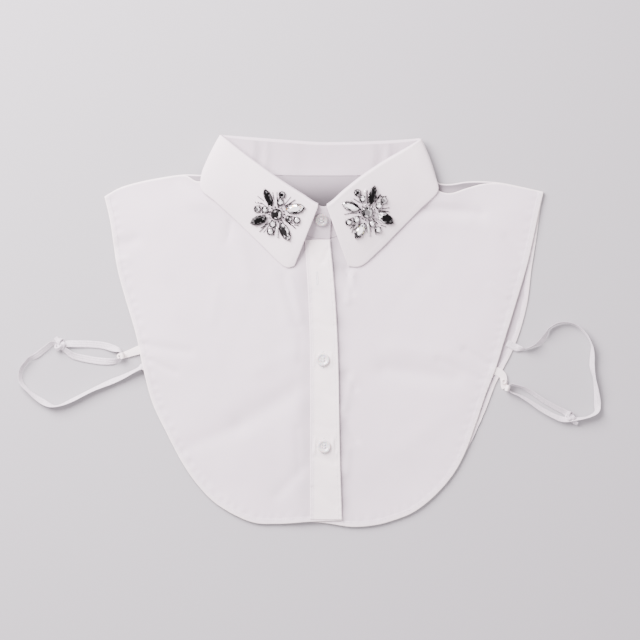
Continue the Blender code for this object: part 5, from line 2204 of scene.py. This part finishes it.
    def build(self, leaf: Surface) -> list[bpy.types.Object]:
        """Make the cluster.

        Args:
            leaf: The collar leaf that carries it.

        Returns:
            Its pieces.
        """
        (middle_x, middle_y), rows = CLUSTERS[self.name]
        glass = {False: MeshParts(), True: MeshParts()}
        tones: dict[bool, list[tuple[float, float, float]]] = {False: [], True: []}
        nodes: dict[bool, list[str]] = {False: [], True: []}
        silver = MeshParts()
        for number, (word, x, y, length, width, turn) in enumerate(rows, start=1):
            node = f"{self.name}_{number:02d}"
            kind = StoneKind(word)
            dark = node in DARK_STONES
            point, normal = leaf.point(middle_x + x, middle_y + y)
            seat = point + normal * STONE_SEAT
            axes = axes_on(normal, turn)
            size = (length, width, STONE_HEIGHTS[word])
            self.tones = tones[dark]
            tone = STONE_TONES.get(node, ROUND_TONE)
            self.cut_stone(glass[dark], kind, size, seat, axes, tone)
            self.set_stone(silver, kind, size, seat, axes)
            nodes[dark].append(node)
        pieces = []
        for dark, label, slot in ((False, "clear", Slot.CLEAR), (True, "smoke", Slot.SMOKE)):
            finish = self.wardrobe.smoke if dark else self.wardrobe.clear
            stones = glass[dark].build(f"{self.name}_{label}", finish, None)
            self.paint(stones, tones[dark])
            pieces.append(settle(stones, slot, nodes[dark]))
        count, reach, radius = KNOBS
        for turn in np.arange(count) * 2 * math.pi / count:
            point, normal = leaf.point(
                middle_x + reach * math.cos(turn), middle_y + reach * math.sin(turn)
            )
            line = [point + normal * radius * (1.15 + rise) for rise in (-0.95, -0.5, 0.5, 0.95)]
            thick = [radius * share for share in (0.3, 0.87, 0.87, 0.3)]
            self.add_rod(silver, line, thick, 8)
        beads = MeshParts()
        wires = []
        for step in range(WIRES):
            turn = 2 * math.pi * (step + 0.8 * self.random()) / WIRES
            inner, outer = 8.0 + 3.0 * self.random(), 16.0 + 5.5 * self.random()
            ends = (inner * math.cos(turn), inner * math.sin(turn))
            bend = turn + 0.12 * (self.random() - 0.5)
            wires.append((*ends, outer * math.cos(bend), outer * math.sin(bend), 0.2))
        for row in (*PINS[self.name], *wires):
            parts = beads if row[4] > BEAD_RADIUS else silver
            self.add_pin(parts, leaf, row, (middle_x, middle_y))
        bugles = beads.build(f"{self.name}_bugles", self.wardrobe.bugle, 50.0)
        pieces.append(settle(bugles, Slot.CLEAR))
        cups = silver.build(f"{self.name}_settings", self.wardrobe.silver, 30.0)
        pieces.append(settle(cups, Slot.CLEAR))
        return pieces

    def paint(self, stones: bpy.types.Object, tones: list[tuple[float, float, float]]) -> None:
        """Give each facet its painted tone."""
        attribute = stones.data.attributes.new("facets", "FLOAT_COLOR", "CORNER")
        for polygon, tone in zip(stones.data.polygons, tones, strict=True):
            for corner in polygon.loop_indices:
                attribute.data[corner].color = (*tone, 1.0)

    def add_pin(
        self, parts: MeshParts, leaf: Surface, row: tuple[float, ...],
        middle: tuple[float, float],
    ) -> None:
        """Sew on one bugle bead or fine wire.

        Args:
            parts: The mesh that it goes into.
            leaf: The collar leaf.
            row: Its ends from the cluster's middle and its radius.
            middle: The cluster's middle.
        """
        x0, y0, x1, y1, radius = row
        ends = []
        for x, y in ((x0, y0), (x1, y1)):
            point, normal = leaf.point(middle[0] + x, middle[1] + y)
            ends.append(point + normal * (radius + 0.25))
        line = [ends[0] + share * (ends[1] - ends[0]) for share in (0.0, 0.04, 0.96, 1.0)]
        self.add_rod(parts, line, (0.8 * radius, 1.2 * radius, 1.2 * radius, 0.8 * radius), 10)


@dataclass
class LoopTab:
    """A folded strip of poplin from under the armhole's hem, looped round the elastic."""

    wardrobe: Wardrobe
    node: str
    rows: Rows
    widths: tuple[float, float]
    loop: tuple[float, float, float]
    eye: tuple[float, float, float]
    thick: float = 0.8
    eye_radii: tuple[float, float] = (1.85, 0.72)
    loop_thick: float = 0.7
    loop_half_length: float = 1.75
    loop_half_height: float = 3.75

    def section(self, width: float, thick: float) -> np.ndarray:
        """Return the strip's section, with a stitched groove near each edge."""
        shares = np.linspace(-1.0, 1.0, 17)
        profile = (thick / 2) * np.sqrt(1 - np.minimum(np.abs(shares), 0.97) ** 6)
        profile = profile - 0.16 * np.exp(-(((np.abs(shares) - 0.62) / 0.1) ** 2))
        upper = np.stack((shares * width / 2, profile), axis=1)
        lower = np.stack((shares * width / 2, -profile), axis=1)[::-1]
        return np.concatenate((upper, lower))

    def build(self) -> bpy.types.Object:
        """Make the tab."""
        route = smooth_rows(self.rows, 10)
        middle = np.stack(
            (route[:, 0], route[:, 1], route[:, 3] + self.thick / 2), axis=1
        )
        along = unit(np.gradient(middle, axis=0))
        level = unit(np.stack((-along[:, 1], along[:, 0], np.zeros(len(along))), axis=1))
        normal = unit(np.cross(along, level))
        rings = []
        for share, point, side, up in zip(
            np.linspace(0.0, 1.0, len(middle)), middle, level, normal
        ):
            width = self.widths[0] + share * (self.widths[1] - self.widths[0])
            section = self.section(width, self.thick)
            rings.append(point + section[:, :1] * side + section[:, 1:] * up)
        parts = MeshParts()
        parts.add_rings(np.array(rings))
        self.add_loop(parts)
        self.add_eye(parts)
        tab = parts.build(self.node + "_cloth", self.wardrobe.poplin)
        set_layers_and_painted_light(tab, 1.0)
        return settle(tab, Slot.POPLIN, (self.node,))

    def add_eye(self, parts: MeshParts) -> None:
        """Add the rolled eye at the strip's end."""
        large, small = self.eye_radii
        angles = np.linspace(0.0, 2 * math.pi, 32, endpoint=False)
        outward = np.stack((np.cos(angles), np.sin(angles), np.zeros(32)), axis=1)
        rounds = np.linspace(0.0, 2 * math.pi, 12, endpoint=False)
        away = np.cos(rounds)[None, :, None] * outward[:, None]
        away = away + np.sin(rounds)[None, :, None] * np.array((0.0, 0.0, 1.0))
        parts.add_rings(np.array(self.eye) + large * outward[:, None] + small * away, closed=True)

    def add_loop(self, parts: MeshParts) -> None:
        """Add the strip's upright loop, which the elastic passes through."""
        x, y, turn = self.loop
        heading = np.array((math.cos(math.radians(turn)), math.sin(math.radians(turn)), 0.0))
        side = np.array((-heading[1], heading[0], 0.0))
        up = np.array((0.0, 0.0, 1.0))
        angles = np.linspace(0.0, 2 * math.pi, 40, endpoint=False)[:, None]
        swing = self.loop_half_length * np.cos(angles) * heading
        swing = swing + self.loop_half_height * np.sin(angles) * up
        outward = unit(
            np.cos(angles) * heading / self.loop_half_length
            + np.sin(angles) * up / self.loop_half_height
        )
        centre = np.array((x, y, self.loop_half_height + self.loop_thick))
        section = self.section(self.widths[1], self.loop_thick)
        rings = (centre + swing)[:, None] + section[None, :, :1] * side
        rings = rings + section[None, :, 1:] * outward[:, None]
        parts.add_rings(rings, closed=True)


def main() -> None:
    """Build the dressed garment."""
    logging.basicConfig(level=logging.INFO)
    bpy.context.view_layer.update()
    Studio().build()
    wardrobe = Wardrobe()
    for tie in (
        ElasticTie(
            "tie_right", (TIE_RIGHT_OUTER, TIE_RIGHT_DOUBLE), "tie_right_knot", 0.312,
            nodes=("tie_right_outer", "tie_right_double"),
            tail=((-237.0, -11.0, 30.0, 2.2), (-239.4, -8.2, 40.0, 1.3), (-241.4, -5.6, 45.0, 0.6)),
        ),
        ElasticTie(
            "tie_left", (TIE_LEFT_OUTER, TIE_LEFT_DOUBLE), "tie_left_knot", 0.3135,
            nodes=("tie_left_outer", "tie_left_double"),
            tail=((222.4, -79.6, 40.0, 1.4), (225.0, -82.0, 45.0, 0.8), (228.0, -83.6, 50.0, 0.4)),
        ),
    ):
        tie.build(wardrobe.elastic)
    bodice = Bodice(wardrobe)
    bodice.build()
    tab_right = LoopTab(
        wardrobe, "tab_right", STRIP_RIGHT, (8.4, 5.4), (-181.4, -22.2, 190.0),
        (-183.6, -22.7, 4.9),
    ).build()
    tab_left = LoopTab(
        wardrobe, "tab_left", STRIP_LEFT, (7.4, 5.2), (164.9, -51.4, -20.0),
        (161.9, -45.4, 2.5),
    ).build()
    stand, leaf = Collar(wardrobe).build()
    placket_surface = Surface(bodice.placket)
    leaf_surface = Surface(leaf)
    threads = [
        ShirtButton(wardrobe, node, x, y).build(placket_surface) for node, x, y in BUTTON_ROWS
    ]
    collar_thread = ShirtButton(
        wardrobe, "button_collar", *COLLAR_BUTTON, wardrobe.shaded_button
    ).build(Surface(stand))
    holes = Buttonholes(wardrobe, BUTTONHOLES).build(placket_surface)
    for name in CLUSTERS:
        CrystalCluster(wardrobe, name).build(leaf_surface)


if __name__ == "__main__":
    main()
